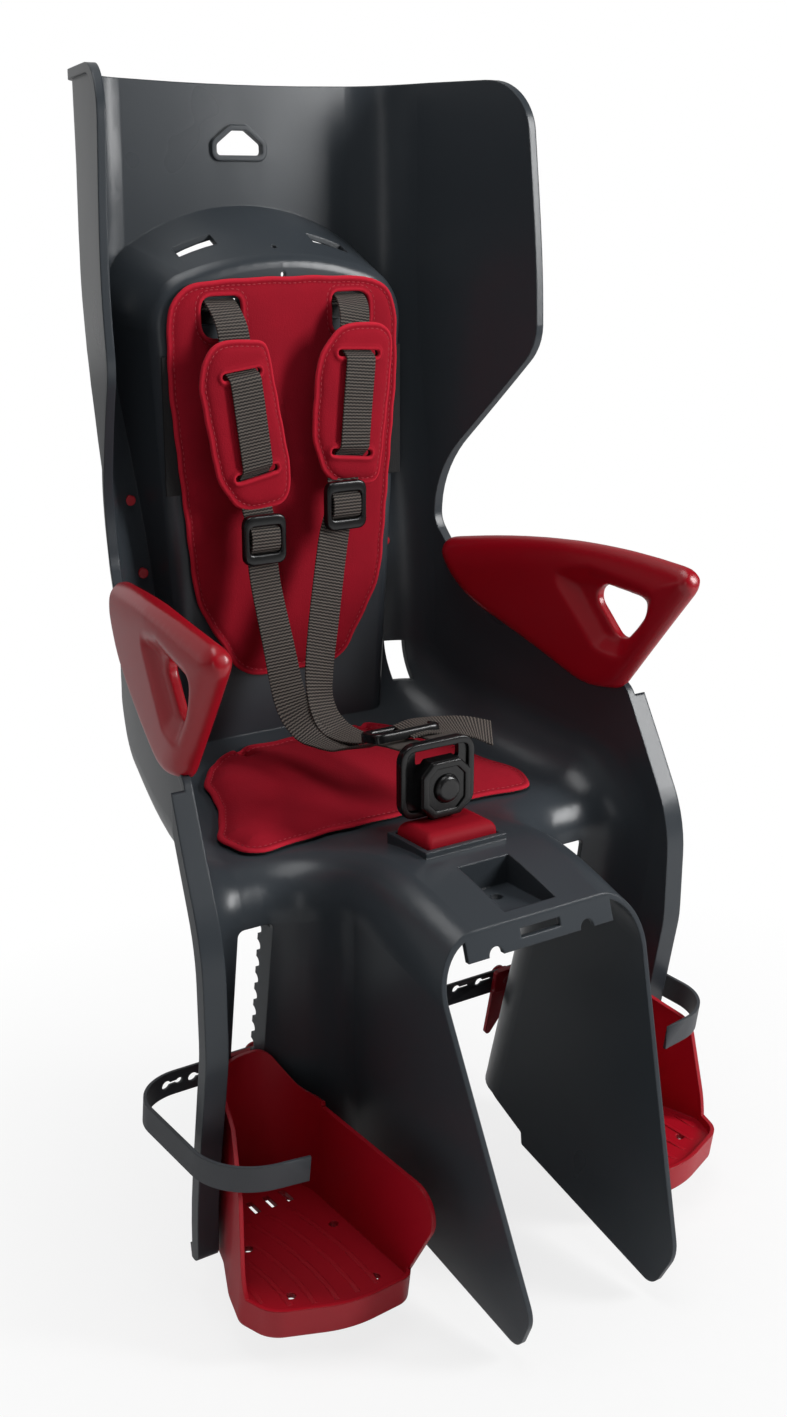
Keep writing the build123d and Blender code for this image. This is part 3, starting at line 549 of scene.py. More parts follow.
def subdivided(thing, levels=1):
    subdivision = thing.modifiers.new("subdivision", "SUBSURF")
    subdivision.levels = levels
    subdivision.render_levels = levels
    settle(thing)


ribbons = {"splineSteps": 24, "edge": 0.35}


def splinePath(rows, step):
    rows = np.array(rows, float)
    padded = np.vstack([2 * rows[0] - rows[1], rows, 2 * rows[-1] - rows[-2]])
    samples = []
    for i in range(len(rows) - 1):
        a, b, c, d = padded[i: i + 4]
        for t in np.linspace(0, 1, ribbons["splineSteps"], endpoint=False):
            samples.append(0.5 * (2 * b + (c - a) * t + (2 * a - 5 * b + 4 * c - d) * t ** 2
                                  + (3 * b - a - 3 * c + d) * t ** 3))
    samples.append(rows[-1])
    return evenly(samples, step, closed=False)


def ribbon(name, rows, values):
    # Each row is a point of the strap's middle and the direction of its width.
    path = splinePath(rows, values["step"])
    middle, across = path[:, :3], path[:, 3:]
    heading = np.gradient(middle, axis=0)
    heading /= np.linalg.norm(heading, axis=1)[:, None]
    across = across - heading * np.sum(across * heading, axis=1)[:, None]
    across /= np.linalg.norm(across, axis=1)[:, None]
    normal = np.cross(heading, across)
    half, thick = values["width"] / 2, values["thick"] / 2
    flatEnd = half - ribbons["edge"]
    upper = [(u, thick) for u in (-flatEnd, -half / 2, 0, half / 2, flatEnd)]
    side = [(-half, 0), *upper, (half, 0), *[(u, -w) for u, w in reversed(upper)]]
    size = len(side)
    points = np.concatenate([
        [m + a * u + n * w for u, w in side] for m, a, n in zip(middle, across, normal)
    ])
    data = mmMesh(name, points, tubeFaces(len(path), size), looks["webbing"])
    spans = np.linalg.norm(np.diff(middle, axis=0), axis=1)
    along = np.concatenate([[0], np.cumsum(spans)])
    layer = data.uv_layers.new(name="weave")
    for loop in data.loops:
        row, place = divmod(loop.vertex_index, size)
        layer.data[loop.index].uv = (along[row] * toMetre, side[place][0] * toMetre)
    thing = newObject(name, data)
    outward(thing, "ribbon")
    return thing


ringSteps = 5


def ringSolid(name, outer, inner, base, top, edge, lay):
    # A closed frame between two loops of equal length, with rounded edges.
    bend = [(1 - math.cos(a), math.sin(a)) for a in np.linspace(0, math.pi / 2, ringSteps)]
    section = [("outer", edge * c, top - edge + edge * s) for c, s in bend]
    section += [("inner", edge * c, top - edge + edge * s) for c, s in reversed(bend)]
    section += [("inner", 0, base), ("outer", 0, base)]
    inward = (inner - outer) / np.linalg.norm(inner - outer, axis=1)[:, None]
    points = []
    for which, inset, height in section:
        flat = outer + inward * inset if which == "outer" else inner - inward * inset
        points.append(lay(flat, np.full(len(flat), height)))
    faces = stripFaces(len(section), len(outer), closed=True)
    return meshObject(name, np.vstack(points), faces, looks["black_plastic"], "ring")


nodeSlots = {row["node"]: row["material_slot"] for row in frame["record"]["subparts"]}
for name, node in nodes.items():
    node.data.materials.clear()
    node.data.materials.append(looks[nodeSlots[name]])
    shaded(node.data, "frame")
print("frame looks set")


# Seam stitches, laid along a line of points by Geometry Nodes

stitches = {
    "pitch": 4.4, "length": 3.0, "thread": 0.75, "lift": 0.1,
    "beadSegments": 6, "beadRings": 4, "beadRadius": 0.5,
}


def stitchTree():
    tree = bpy.data.node_groups.new("stitchRow", "GeometryNodeTree")
    sockets = {}
    for label, kind in (
        ("Line", "Geometry"), ("Pitch", "Float"), ("Length", "Float"), ("Thread", "Float"),
        ("Look", "Material"),
    ):
        socket = tree.interface.new_socket(label, in_out="INPUT", socket_type="NodeSocket" + kind)
        sockets[label] = socket.identifier
    tree.interface.new_socket("Stitches", in_out="OUTPUT", socket_type="NodeSocketGeometry")
    made = {}
    for key, kind in (
        ("given", "NodeGroupInput"), ("curve", "GeometryNodeMeshToCurve"),
        ("spaced", "GeometryNodeResampleCurve"), ("bead", "GeometryNodeMeshUVSphere"),
        ("tangent", "GeometryNodeInputTangent"), ("turn", "FunctionNodeAlignEulerToVector"),
        ("scale", "ShaderNodeCombineXYZ"), ("placed", "GeometryNodeInstanceOnPoints"),
        ("real", "GeometryNodeRealizeInstances"), ("dressed", "GeometryNodeSetMaterial"),
        ("result", "NodeGroupOutput"),
    ):
        made[key] = tree.nodes.new(kind)
    made["spaced"].mode = "LENGTH"
    made["bead"].inputs["Segments"].default_value = stitches["beadSegments"]
    made["bead"].inputs["Rings"].default_value = stitches["beadRings"]
    made["bead"].inputs["Radius"].default_value = stitches["beadRadius"]
    made["turn"].axis = "X"
    for source, output, target, entry in (
        ("given", "Line", "curve", "Mesh"), ("curve", "Curve", "spaced", "Curve"),
        ("given", "Pitch", "spaced", "Length"), ("spaced", "Curve", "placed", "Points"),
        ("bead", "Mesh", "placed", "Instance"), ("tangent", "Tangent", "turn", "Vector"),
        ("turn", "Rotation", "placed", "Rotation"), ("given", "Length", "scale", "X"),
        ("given", "Thread", "scale", "Y"), ("given", "Thread", "scale", "Z"),
        ("scale", "Vector", "placed", "Scale"), ("placed", "Instances", "real", "Geometry"),
        ("real", "Geometry", "dressed", "Geometry"), ("given", "Look", "dressed", "Material"),
        ("dressed", "Geometry", "result", "Stitches"),
    ):
        tree.links.new(made[source].outputs[output], made[target].inputs[entry])
    return tree, sockets


seamTree, seamSockets = stitchTree()


def stitchSeam(name, pad, lines):
    # Every line is dropped on the finished pad, with the thread half sunk in the cloth.
    cover = surfaceTree(pad.data)
    points, edges = [], []
    for line in lines:
        first = len(points)
        for spot in line:
            near, normal, *_ = cover.find_nearest(Vector(spot) * toMetre)
            points.append(near + normal * (stitches["lift"] * toMetre))
        edges += [(first + i, first + (i + 1) % len(line)) for i in range(len(line))]
    data = bpy.data.meshes.new(name)
    data.from_pydata(points, edges, [])
    thing = newObject(name, data)
    modifier = thing.modifiers.new("stitches", "NODES")
    modifier.node_group = seamTree
    modifier[seamSockets["Pitch"]] = stitches["pitch"] * toMetre
    modifier[seamSockets["Length"]] = stitches["length"] * toMetre
    modifier[seamSockets["Thread"]] = stitches["thread"] * toMetre
    modifier[seamSockets["Look"]] = threadLook
    settle(thing)
    outward(thing, "stitch")
    seat(thing, "seat", "red_fabric")


edgeWave = {"turns": (0.71, 0.53), "shift": 1}


def sewnEdge(shape, values):
    # The rounded outline of a pad, waved a little like any sewn edge.
    loop = rounded(shape["corners"], shape["radii"], values["edgeStep"])
    turn = np.arange(len(loop))
    turnX, turnZ = edgeWave["turns"]
    sway = [np.sin(turn * turnX), np.sin(turn * turnZ + edgeWave["shift"])]
    return loop + values["wave"] * np.column_stack(sway)


def seamHeights(line, values):
    return np.full(len(line), values["seamHeight"])


# Back pad

backPad = {
    "corners": [(-101, 404), (-30, 407), (30, 407), (101, 404), (101, 330), (85, 165), (46, 100),
                (-46, 100), (-85, 165), (-101, 330)],
    "radii": [42, 60, 60, 42, 90, 80, 34, 34, 80, 90],
    "cutCorners": [(40, 394), (73, 394), (73, 364), (40, 364)],
    "cutRadii": [6, 10, 12, 8],
    "profile": [(0, 1.2), (0.8, 2.4), (2, 2.9), (3.6, 2.7), (4.6, 2.2), (5.6, 2.0), (6.6, 2.5),
                (9, 3.5), (14, 4.3), (30, 4.8)],
    "hemProfile": [(0, -1.6), (0.8, -0.2), (2, 0.5), (3.6, 0.5), (4.6, -0.3), (6.6, -0.2), (10, 0)],
    "edgeStep": 3, "cutStep": 2.5, "ringEnd": 14, "spacing": 4.5, "hem": 9, "under": 0.2,
    "paintedHemLight": 2.4, "seam": 5.2, "seamHeight": 3.0, "wave": 0.28, "pressure": 2, "limit": 2,
    "rear": 273.6,
}
onBack = facing(backPad["rear"])
backOutline = sewnEdge(backPad, backPad)
strapCut = rounded(backPad["cutCorners"], backPad["cutRadii"], backPad["cutStep"])
padLoops = [backOutline, strapCut, strapCut * np.array([-1, 1])]
padThing, padPinned = padObject("backPad", padLoops, backPad, onBack)
puff(padThing, padPinned, backPad)
subdivided(padThing)
seat(padThing, "seat", "red_fabric", "back_pad")
seamLines = [insetRing(loop, padLoops, backPad["seam"]) for loop in padLoops]
seamPaths = [onBack(line, seamHeights(line, backPad)) for line in seamLines]
stitchSeam("backPadStitches", padThing, seamPaths)
print("back pad built")


# Seat cushion

cushion = {
    "corners": [(-70, 263), (70, 263), (106, 236), (115, 188), (138, 150), (127, 117), (62, 124),
                (-62, 124), (-127, 117), (-138, 150), (-115, 188), (-106, 236)],
    "radii": [44, 44, 50, 90, 18, 18, 90, 90, 18, 18, 90, 50],
    "profile": [(0, 2.2), (0.8, 3.8), (2.2, 4.6), (4, 4.6), (5, 4.2), (6.5, 5.0), (9, 6.6),
                (14, 8.8), (22, 10.4), (60, 11.4)],
    "edgeStep": 3, "ringEnd": 14, "spacing": 4.5, "hem": 9, "under": 0.3, "paintedHemLight": 1.6, "seam": 5.2,
    "seamHeight": 5.0, "wave": 0.5, "pressure": 2, "limit": 2,
    "lookFrom": 160, "missedFloor": 20, "slopeReach": 3, "lift": 0.5,
}
shellTree = surfaceTree(nodes["seat_shell"].data)


def floorHeight(x, y):
    above = Vector((x * toMetre, y * toMetre, cushion["lookFrom"] * toMetre))
    hit = shellTree.ray_cast(above, Vector((0, 0, -1)))
    return hit[0].z * toMm if hit[0] is not None else cushion["missedFloor"]


def onFloor(flat, w):
    # Lays a flat outline on the shell's floor, with its height square to the slope there.
    reach = cushion["slopeReach"]
    base = np.array([floorHeight(x, y) for x, y in flat])
    stepY = np.array([floorHeight(x, y + reach) - floorHeight(x, y - reach) for x, y in flat])
    stepX = np.array([floorHeight(x + reach, y) - floorHeight(x - reach, y) for x, y in flat])
    stepY, stepX = stepY / (2 * reach), stepX / (2 * reach)
    scale = 1 / np.sqrt(1 + stepX ** 2 + stepY ** 2)
    w = w + cushion["lift"]
    return np.column_stack([
        flat[:, 0] - stepX * scale * w, flat[:, 1] - stepY * scale * w, base + scale * w,
    ])


cushionOutline = sewnEdge(cushion, cushion)
cushionThing, cushionPinned = padObject("seatCushion", [cushionOutline], cushion, onFloor)
puff(cushionThing, cushionPinned, cushion)
subdivided(cushionThing)
seat(cushionThing, "seat", "red_fabric", "seat_cushion")
seamLine = insetRing(cushionOutline, [cushionOutline], cushion["seam"])
stitchSeam("cushionStitches", cushionThing, [onFloor(seamLine, seamHeights(seamLine, cushion))])
print("cushion built")


# Shoulder pads

shoulderPads = {
    "right": {
        "corners": [(-78, 365), (-31, 364), (-12, 264), (-17, 240), (-58, 236), (-77, 262),
                    (-91, 338)],
        "radii": [28, 14, 60, 16, 24, 40, 40],
        "slits": [((-72, 338), (-40, 342)), ((-63, 263), (-27, 270))],
        "crease": [(-32, 344), (-17, 270)],
    },
    "left": {
        "corners": [(82, 371), (34, 374), (11, 350), (5, 288), (19, 250), (68, 248), (79, 330)],
        "radii": [22, 34, 50, 50, 28, 16, 80],
        "slits": [((28, 351), (64, 349)), ((21, 277), (57, 273))],
        "crease": [(71, 326), (66, 284)],
    },
    "profile": [(0, 1.6), (0.7, 3.0), (1.8, 3.6), (3.2, 3.5), (4.2, 3.1), (5, 3.3), (6.5, 4.6),
                (9, 5.6), (14, 6.2), (40, 6.4)],
    "hemProfile": [(0, -0.6), (0.7, 0.9), (1.8, 1.5), (3.2, 1.4), (4.2, 0.8), (5, 0.2), (6.5, 0)],
    "edgeStep": 2.6, "slitStep": 1.8, "ringEnd": 9, "spacing": 4, "hem": 6, "under": 0.2,
    "paintedHemLight": 1.8, "seam": 4.6, "seamHeight": 4.0, "wave": 0.22, "pressure": 2, "limit": 2,
    "rear": 248.4, "slitWidth": 4.5, "slitRound": 0.45, "fold": 0.3, "foldSoft": 1.5,
}


def slitLoop(start, end):
    start, end = np.array(start, float), np.array(end, float)
    width = shoulderPads["slitWidth"]
    heading = (end - start) / np.linalg.norm(end - start)
    side = np.array([-heading[1], heading[0]]) * width / 2
    corners = [start - side, end - side, end + side, start + side]
    return rounded(corners, [width * shoulderPads["slitRound"]] * 4, shoulderPads["slitStep"])


def onShoulder(flat, w, crease):
    # The strip beyond the crease folds back a little.
    (x0, z0), (x1, z1) = crease
    soft = shoulderPads["foldSoft"]
    past = flat[:, 0] - x0 - (x1 - x0) * (flat[:, 1] - z0) / (z1 - z0)
    fold = shoulderPads["fold"] * np.logaddexp(0, past / soft) * soft
    return np.column_stack([flat[:, 0], shoulderPads["rear"] - w + fold, flat[:, 1]])


for label, title, _ in sides:
    values = shoulderPads[label]
    crease = values["crease"]
    shoulderOutline = sewnEdge(values, shoulderPads)
    loops = [shoulderOutline] + [slitLoop(start, end) for start, end in values["slits"]]
    thing, pinned = padObject(
        "shoulderPad" + title, loops, shoulderPads, lambda flat, w: onShoulder(flat, w, crease)
    )
    puff(thing, pinned, shoulderPads)
    subdivided(thing)
    seat(thing, "seat", "red_fabric", "shoulder_pad_" + label)
    seamLine = insetRing(shoulderOutline, loops, shoulderPads["seam"])
    seamPath = onShoulder(seamLine, seamHeights(seamLine, shoulderPads), crease)
    stitchSeam("shoulderStitches" + title, thing, [seamPath])
print("shoulder pads built")


# Harness webbing

webbing = {"width": 26, "thick": 1.5, "step": 2.5}
flatX = (1, 0, 0)
strapRows = {
    "right": [
        (-56, 287.5, 372, *flatX), (-56, 287.5, 386, *flatX), (-56, 281, 392, *flatX),
        (-57, 268, 388, *flatX), (-56, 256, 374, *flatX), (-55.5, 249.6, 352, 1, 0, 0.1),
        (-55.5, 246.5, 342.5, 1, 0, 0.12), (-55, 239.4, 337.5, 1, 0, 0.12),
        (-54, 238.6, 331, 1, 0, 0.12), (-50, 238.4, 300, 1, 0, 0.16),
        (-46.6, 238.8, 275, 1, 0, 0.2), (-46, 239.8, 270.5, 1, 0, 0.2),
        (-45.3, 246.8, 264.5, 1, 0, 0.2), (-45, 249.6, 255, 1, 0, 0.15),
        (-44, 246, 240, *flatX), (-43.5, 241.2, 228, *flatX),
        (-43.5, 240.2, 216, *flatX), (-43.5, 240.2, 204, *flatX), (-42.5, 237, 180, *flatX),
        (-40.5, 225, 140, 1, -0.1, 0), (-38, 213, 98, 1, -0.25, 0.02),
        (-33, 204, 80, 1, -0.4, 0.05), (-27, 188, 70, 0.95, -0.5, 0),
        (-20, 160, 68, 0.95, -0.35, 0), (-16, 138, 76, 1, -0.1, 0),
        (-15, 118, 84, *flatX), (-15, 98, 88, *flatX), (-14.5, 79, 90, *flatX),
    ],
    "left": [
        (56, 287.5, 372, *flatX), (56, 287.5, 386, *flatX), (56, 281, 392, *flatX),
        (55, 268, 390, *flatX), (51, 256, 380, *flatX), (47.5, 249.6, 362, 1, 0, -0.05),
        (46.3, 246.5, 352.5, 1, 0, -0.06), (46, 239.4, 347.5, 1, 0, -0.05),
        (45.5, 238.6, 341, 1, 0, -0.05), (42.5, 238.4, 312, *flatX),
        (40.2, 238.8, 283.5, 1, 0, -0.1), (40, 239.8, 279, 1, 0, -0.1),
        (39.3, 246.8, 273, 1, 0, -0.1), (37.5, 249.4, 265, *flatX),
        (33, 246, 256, 1, 0, 0.1), (30, 241.2, 247, 1, 0, 0.12), (27.5, 240.2, 236, 1, 0, 0.12),
        (23.5, 240.2, 223, 1, 0, 0.18), (18, 238, 206, 1, 0, 0.22), (3, 227, 155, 1, 0, 0.25),
        (-10, 215, 112, 1, 0.15, 0.2), (-13, 206, 88, 1, 0.3, 0.15), (-10, 190, 73, 1, 0.1, 0.1),
        (-2, 160, 71, 1, -0.1, 0), (7, 138, 78, *flatX), (12, 118, 86, *flatX),
        (14, 98, 90, *flatX), (14.5, 79, 92, *flatX),
    ],
}
for label, title, _ in reversed(sides):
    thing = ribbon("shoulderWebbing" + title, strapRows[label], webbing)
    seat(thing, "seat", "webbing", "shoulder_webbing_" + label)
print("webbing built")


# Strap sliders: a rounded frame, its middle bar covered by a band of webbing

sliders = {
    "left": {"middle": (29, 236)}, "right": {"middle": (-43.5, 217)},
    "width": 36, "length": 38, "corner": 8, "windowWidth": 27, "windowLength": 21,
    "windowCorner": 4, "rear": 239.0, "thick": 5.6, "edge": 1.8, "count": 64,
    "bandRows": 9, "bandDip": 6, "bandLift": 0.2,
}
sliderBand = {"width": 25, "thick": 1.4, "step": 0.8}
for label, title, _ in sides:
    x, z = sliders[label]["middle"]
    outer, inner = sliderLoops((x, z), sliders)
    thing = ringSolid(
        "strapSlider" + title, outer, inner, 0, sliders["thick"], sliders["edge"],
        facing(sliders["rear"]),
    )
    seat(thing, "seat", "black_plastic", "strap_slider_" + label)
    reach, front = sliders["windowLength"] / 2, sliders["rear"] - sliders["thick"]
    rows = [
        (x, front + sliders["bandDip"] * t ** 4 - sliders["bandLift"], z + reach * t, *flatX)
        for t in np.linspace(1, -1, sliders["bandRows"])
    ]
    band = ribbon("sliderBand" + title, rows, sliderBand)
    seat(band, "seat", "webbing")
print("sliders built")


# Lap slider with the loose strap tail

lapSlider = {
    "middle": (-8, 106, 90), "width": 58, "length": 24, "corner": 7, "windowWidth": 46,
    "windowLength": 11, "windowCorner": 3, "thick": 6.5, "edge": 2.0, "count": 64, "tilt": 0.16,
}


def onLap(flat, w):
    x, y, z = lapSlider["middle"]
    rise = -lapSlider["tilt"] * flat[:, 1]
    return np.column_stack([flat[:, 0] + x, flat[:, 1] + y + lapSlider["tilt"] * w, z + rise + w])


outer, inner = sliderLoops((0, 0), lapSlider)
thing = ringSolid("lapSlider", outer, inner, 0, lapSlider["thick"], lapSlider["edge"], onLap)
seat(thing, "seat", "black_plastic", "lap_slider")

strapTail = {"width": 26, "thick": 1.5, "step": 2.5}
tailRows = [
    (-8, 103, 94, 0, 1, 0.1), (6, 103, 95.5, 0, 1, 0.15), (26, 102, 93, 0.1, 1, 0.25),
    (48, 98, 89, 0.35, 0.9, 0.35), (64, 92, 83, 0.6, 0.7, 0.4),
]
thing = ribbon("strapTail", tailRows, strapTail)
seat(thing, "seat", "webbing", "strap_tail")
print("lap slider built")


# Raised borders of the buckle tongue and of the button housing

buckle = {
    "tongue": [(-32, 39.5), (32, 39.5), (32, 95), (-32, 95)], "tongueRadius": 13, "tongueFront": 72,
    "border": 5.5, "borderBase": -0.5, "borderRise": 2.2, "borderEdge": 1.0,
    "middle": (0, 62), "half": 20.6, "cut": 9, "cutRadius": 1.5, "rimFront": 60,
    "rimWidth": 5, "rimBase": -2.0, "rimRise": 1.4, "rimEdge": 0.7, "count": 96,
}


def octagon(middle, half, cut):
    x, z = middle
    corners = [(-half + cut, -half), (half - cut, -half), (half, -half + cut), (half, half - cut),
               (half - cut, half), (-half + cut, half), (-half, half - cut), (-half, -half + cut)]
    return [(x + u, z + v) for u, v in corners]


outer = rounded(buckle["tongue"], [buckle["tongueRadius"]] * 4, count=buckle["count"])
inner = evenly(insetRing(outer, [outer], buckle["border"]), count=buckle["count"])
thing = ringSolid(
    "tongueBorder", outer, inner, buckle["borderBase"], buckle["borderRise"], buckle["borderEdge"],
    facing(buckle["tongueFront"]),
)
seat(thing, "seat", "black_plastic")
housing = octagon(buckle["middle"], buckle["half"], buckle["cut"])
outer = rounded(housing, [buckle["cutRadius"]] * 8, count=buckle["count"])
shrink = 1 - buckle["rimWidth"] / buckle["half"]
inner = (outer - np.array(buckle["middle"])) * shrink + np.array(buckle["middle"])
thing = ringSolid(
    "housingRim", outer, inner, buckle["rimBase"], buckle["rimRise"], buckle["rimEdge"],
    facing(buckle["rimFront"]),
)
seat(thing, "seat", "black_plastic")

# The leaf spring, as a smooth-shaded copy of the CAD part baked in place
spring = nodeCopy("buttonSpring", "button_spring")
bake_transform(spring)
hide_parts("button_spring")
print("buckle borders built")


# Armrests: the CAD solid thinned to a rounded fin, with a dished grip

armrests = {
    "voxel": 1.6, "smoothFactor": 0.5, "smoothBefore": 10, "smoothAfter": 5,
    "crest": [(272, 192), (140, 213), (11, 201), (88, 98)], "crestRound": 26, "crestThin": 0.3,
    "dish": [(160, 184), (118, 193), (44, 183), (62, 144), (82, 120), (110, 126)],
    "dishRadius": 16, "dishStep": 3, "dishFall": 17, "dishDepth": 0.6,
}
crestLine = np.array(armrests["crest"], float)
dishRadii = [armrests["dishRadius"]] * len(armrests["dish"])
dishLoop = rounded(armrests["dish"], dishRadii, armrests["dishStep"])


def lineDistance(points, line):
    return np.min([segmentDistance(points, a, b) for a, b in zip(line[:-1], line[1:])], axis=0)


def eased(share):
    share = np.clip(share, 0, 1)
    return share * share * (3 - 2 * share)


def addSmooth(thing, iterations):
    smooth = thing.modifiers.new("smooth", "SMOOTH")
    smooth.factor = armrests["smoothFactor"]
    smooth.iterations = iterations


for label, title, _ in sides:
    thing = nodeCopy("armrest" + title, "armrest_" + label)
    remesh = thing.modifiers.new("remesh", "REMESH")
    remesh.mode = "VOXEL"
    remesh.voxel_size = armrests["voxel"] * toMetre
    addSmooth(thing, armrests["smoothBefore"])
    settle(thing)
    thing.data.materials.clear()
    thing.data.materials.append(looks["red_gloss"])

    # The thickness is scaled about a curved middle surface fitted to the points
    places = np.array([v.co for v in thing.data.vertices]) * toMm
    x, y, z = places.T
    terms = np.column_stack([np.ones(len(x)), y, z, y * y, y * z, z * z])
    middle = terms @ np.linalg.lstsq(terms, x, rcond=None)[0]
    inward = np.clip(lineDistance(places[:, 1:], crestLine) / armrests["crestRound"], 0, 1)
    thin = armrests["crestThin"]
    thickness = thin + (1 - thin) * np.sqrt(1 - (1 - inward) ** 2)
    dished = eased(depthInside(places[:, 1:], [dishLoop]) / armrests["dishFall"])
    thickness *= 1 - armrests["dishDepth"] * dished
    places[:, 0] = middle + (x - middle) * thickness
    thing.data.vertices.foreach_set("co", (places * toMetre).astype(np.float32).ravel())
    addSmooth(thing, armrests["smoothAfter"])
    settle(thing)
    thing.data.shade_smooth()
    seat(thing, "seat", "red_gloss", "armrest_" + label)
print("armrests built")


# Foot straps: the CAD strap with two more key holes punched in its outer end

footStraps = {
    "holes": [163, 185], "holeZ": -152.6, "holeTilt": -0.05, "bigRadius": 3.7, "smallRadius": 2.7,
    "neck": 1.5, "span": 11, "roundPoints": 18, "cutFront": 118, "cutRear": 160,
}


def keyHole(values):
    # Outline of a large and a small round joined by a neck, the large one outwards.
    half = values["span"] / 2
    rounds = ((half, values["bigRadius"], 0), (-half, values["smallRadius"], math.pi))
    points = []
    for middle, radius, heading in rounds:
        opening = math.pi - math.asin(values["neck"] / radius)
        for turn in np.linspace(-opening, opening, values["roundPoints"]):
            angle = heading + turn
            points.append((middle + radius * math.cos(angle), radius * math.sin(angle)))
    return np.array(points)


holeOutline = keyHole(footStraps)
holeFaces = tubeFaces(2, len(holeOutline))
for label, title, sign in sides:
    strap = nodeCopy("footStrap" + title, "foot_strap_" + label)
    points, faces = [], []
    for x in footStraps["holes"]:
        faces += [tuple(len(points) + i for i in face) for face in holeFaces]
        for y in (footStraps["cutFront"], footStraps["cutRear"]):
            points += [
                (sign * (x + u), y, footStraps["holeZ"] + v + footStraps["holeTilt"] * u)
                for u, v in holeOutline
            ]
    punch = meshObject("strapPunch", points, faces, looks["strap_rubber"])
    punched = strap.modifiers.new("holes", "BOOLEAN")
    punched.operation = "DIFFERENCE"
    punched.solver = "EXACT"
    punched.object = punch
    settle(strap)
    bpy.data.objects.remove(punch)
    outward(strap, "copy")
    seat(strap, "footrest_" + label, "strap_rubber", "foot_strap_" + label)
print("foot straps built")


# Moulded ripples on the floor of each footrest

ripples = {
    "floor": [(103, -36), (103, 82), (164, 84), (181, 64), (196, 31), (203, 2), (197, -18),
              (150, -39)],
    "floorRadius": 10, "floorStep": 3, "floorZ": -244, "middle": (262, 6), "first": 66, "last": 158,
    "pitch": 15.5, "stretch": 1.6, "reach": 1.25, "samples": 200, "step": 2.5, "margin": 3,
    "fewest": 12, "fade": 4,
    "shape": [(-3.4, -0.4), (-3.2, 0.05), (0, 0.8), (0.5, 0.75), (0.9, -0.4)],
}


def lowRib(line, shape, z):
    # A rib of the given section along a flat line, fading out at both ends.
    heading = np.gradient(line, axis=0)
    heading /= np.linalg.norm(heading, axis=1)[:, None]
    side = np.column_stack([-heading[:, 1], heading[:, 0]])
    fromStart = np.arange(len(line))
    fade = np.minimum(1, np.minimum(fromStart, fromStart[::-1]) / ripples["fade"])
    points = []
    for spot, across, size in zip(line, side, fade):
        points += [(*(spot + across * u), z + (w * size if w > 0 else w)) for u, w in shape]
    return points, tubeFaces(len(line), len(shape))


floorRadii = [ripples["floorRadius"]] * len(ripples["floor"])
floorLoop = rounded(ripples["floor"], floorRadii, ripples["floorStep"])
angles = np.linspace(-ripples["reach"], ripples["reach"], ripples["samples"])
for label, title, sign in sides:
    points, faces = [], []
    section = [(u * sign, w) for u, w in ripples["shape"]]
    for radius in np.arange(ripples["first"], ripples["last"], ripples["pitch"]):
        arc = np.column_stack([
            ripples["middle"][0] - radius * np.cos(angles),
            ripples["middle"][1] + radius * ripples["stretch"] * np.sin(angles),
        ])
        arc = arc[depthInside(arc, [floorLoop]) > ripples["margin"]]
        if len(arc) < ripples["fewest"]:
            continue
        line = evenly(arc, ripples["step"], closed=False) * np.array([sign, 1])
        ribPoints, ribFaces = lowRib(line, section, ripples["floorZ"])
        faces += [tuple(len(points) + i for i in face) for face in ribFaces]
        points += ribPoints
    thing = meshObject("soleRipples" + title, points, faces, looks["red_plastic"], "rib")
    seat(thing, "footrest_" + label, "red_plastic")
print("sole ripples built")


# Camera and light, in metres

def aim(thing, place, direction):
    thing.location = place
    thing.rotation_mode = "QUATERNION"
    thing.rotation_quaternion = direction.to_track_quat("-Z", "Y")


cameraView = {
    "azimuth": -34.11, "elevation": 17.14, "place": (-0.66144, -0.84925, 0.46792),
    "lens": 42.63, "sensor": 36, "clipStart": 0.01,
}
azimuth = math.radians(cameraView["azimuth"])
elevation = math.radians(cameraView["elevation"])
back = Vector((
    math.sin(azimuth) * math.cos(elevation), -math.cos(azimuth) * math.cos(elevation),
    math.sin(elevation),
))
cameraData = bpy.data.cameras.new("camera")
cameraData.lens = cameraView["lens"]
cameraData.sensor_width = cameraView["sensor"]
cameraData.clip_start = cameraView["clipStart"]
cameraObject = newObject("camera", cameraData)
aim(cameraObject, cameraView["place"], -back)
scene.camera = cameraObject

lamps = {
    "keyBox": {
        "place": (1.3, -1.15, 0.95), "target": (0, 0.2, 0.2), "size": (0.45, 1.0), "power": 36,
    },
    "frontBox": {
        "place": (-1.3, -1.5, 0.35), "target": (0, 0.2, 0.3), "size": (0.35, 1.5), "power": 3,
    },
    "overheadBox": {
        "place": (-0.1, 0.1, 1.9), "target": (0, 0.1, 0.1), "size": (1.4, 0.8), "power": 15,
    },
}
for name, values in lamps.items():
    data = bpy.data.lights.new(name, "AREA")
    data.shape = "RECTANGLE"
    data.size, data.size_y = values["size"]
    data.energy = values["power"]
    lamp = newObject(name, data)
    aim(lamp, values["place"], Vector(values["target"]) - Vector(values["place"]))


def cameraRay(tree):
    return tree.nodes.new("ShaderNodeLightPath").outputs["Is Camera Ray"]


def mixedSurface(tree, factor, first, second, output):
    mix = tree.nodes.new("ShaderNodeMixShader")
    tree.links.new(factor, mix.inputs["Fac"])
    tree.links.new(first, mix.inputs[1])
    tree.links.new(second, mix.inputs[2])
    tree.links.new(mix.outputs["Shader"], tree.nodes[output].inputs["Surface"])


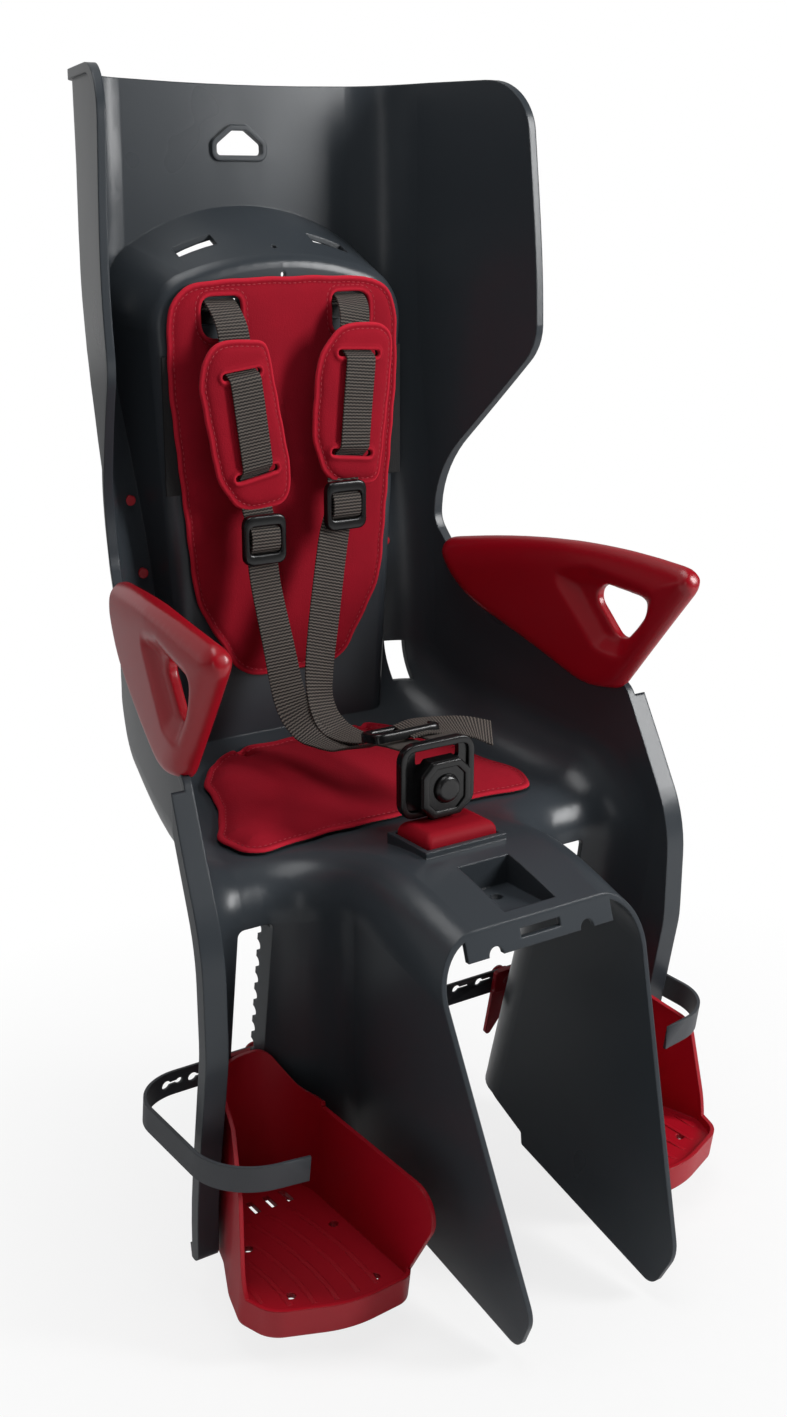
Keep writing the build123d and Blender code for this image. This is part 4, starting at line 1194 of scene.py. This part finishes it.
# White studio: bright behind and to the left of the seat, dimmer where the camera stands
studio = {
    "bright": (-0.42, 0.87, 0.25), "fadeStart": -0.1, "fadeEnd": 0.7, "dim": 0.04, "full": 0.47,
    "color": (1, 1, 1, 1), "seen": 1.0,
}
world = bpy.data.worlds.new("world")
scene.world = world
world.use_nodes = True
tree = world.node_tree
background = tree.nodes["Background"]
background.inputs["Color"].default_value = studio["color"]
toward = tree.nodes.new("ShaderNodeVectorMath")
toward.operation = "DOT_PRODUCT"
toward.inputs[1].default_value = studio["bright"]
tree.links.new(tree.nodes.new("ShaderNodeTexCoord").outputs["Generated"], toward.inputs[0])
strength = ranged(
    tree, toward.outputs["Value"],
    studio["fadeStart"], studio["fadeEnd"], studio["dim"], studio["full"],
)
tree.links.new(strength, background.inputs["Strength"])
seen = tree.nodes.new("ShaderNodeBackground")
seen.inputs["Color"].default_value = studio["color"]
seen.inputs["Strength"].default_value = studio["seen"]
mixedSurface(
    tree, cameraRay(tree), background.outputs["Background"], seen.outputs["Background"],
    "World Output",
)

# Pale floor, low enough for the footrests at their lowest: the shadow stays, the rest is white
floor = {
    "half": 6.0, "gap": 0.012, "shadow": 0.22, "fadeStart": 0.25, "fadeEnd": 0.75, "white": 1.0,
    "dark": (226, 226, 226), "pale": (234, 234, 234), "rough": 0.9,
    "grainScale": 60, "grainDetail": 3,
}
floorLook, tree, shader = newLook("paleFloor")
shader.inputs["Roughness"].default_value = floor["rough"]
grain = objectNoise(tree, floor["grainScale"], floor["grainDetail"])
tree.links.new(mixedColor(tree, grain, floor["dark"], floor["pale"]), shader.inputs["Base Color"])
white = tree.nodes.new("ShaderNodeEmission")
white.inputs["Strength"].default_value = floor["white"]
away = tree.nodes.new("ShaderNodeVectorMath")
away.operation = "LENGTH"
tree.links.new(objectPlace(tree), away.inputs[0])
amount = ranged(
    tree, away.outputs["Value"], floor["fadeStart"], floor["fadeEnd"], 1 - floor["shadow"], 1.0
)
whiteShare = mathNode(tree, "MULTIPLY", amount, cameraRay(tree))
mixedSurface(
    tree, whiteShare, shader.outputs["BSDF"], white.outputs["Emission"], "Material Output"
)
half, low = floor["half"] * toMm, cadLow[2] * toMm - floor["gap"] * toMm
floorPoints = [(-half, -half, low), (half, -half, low), (half, half, low), (-half, half, low)]
floorThing = meshObject("floor", floorPoints, [(0, 1, 2, 3)], floorLook)
scene.view_settings.view_transform = "Standard"
print("camera and light set")
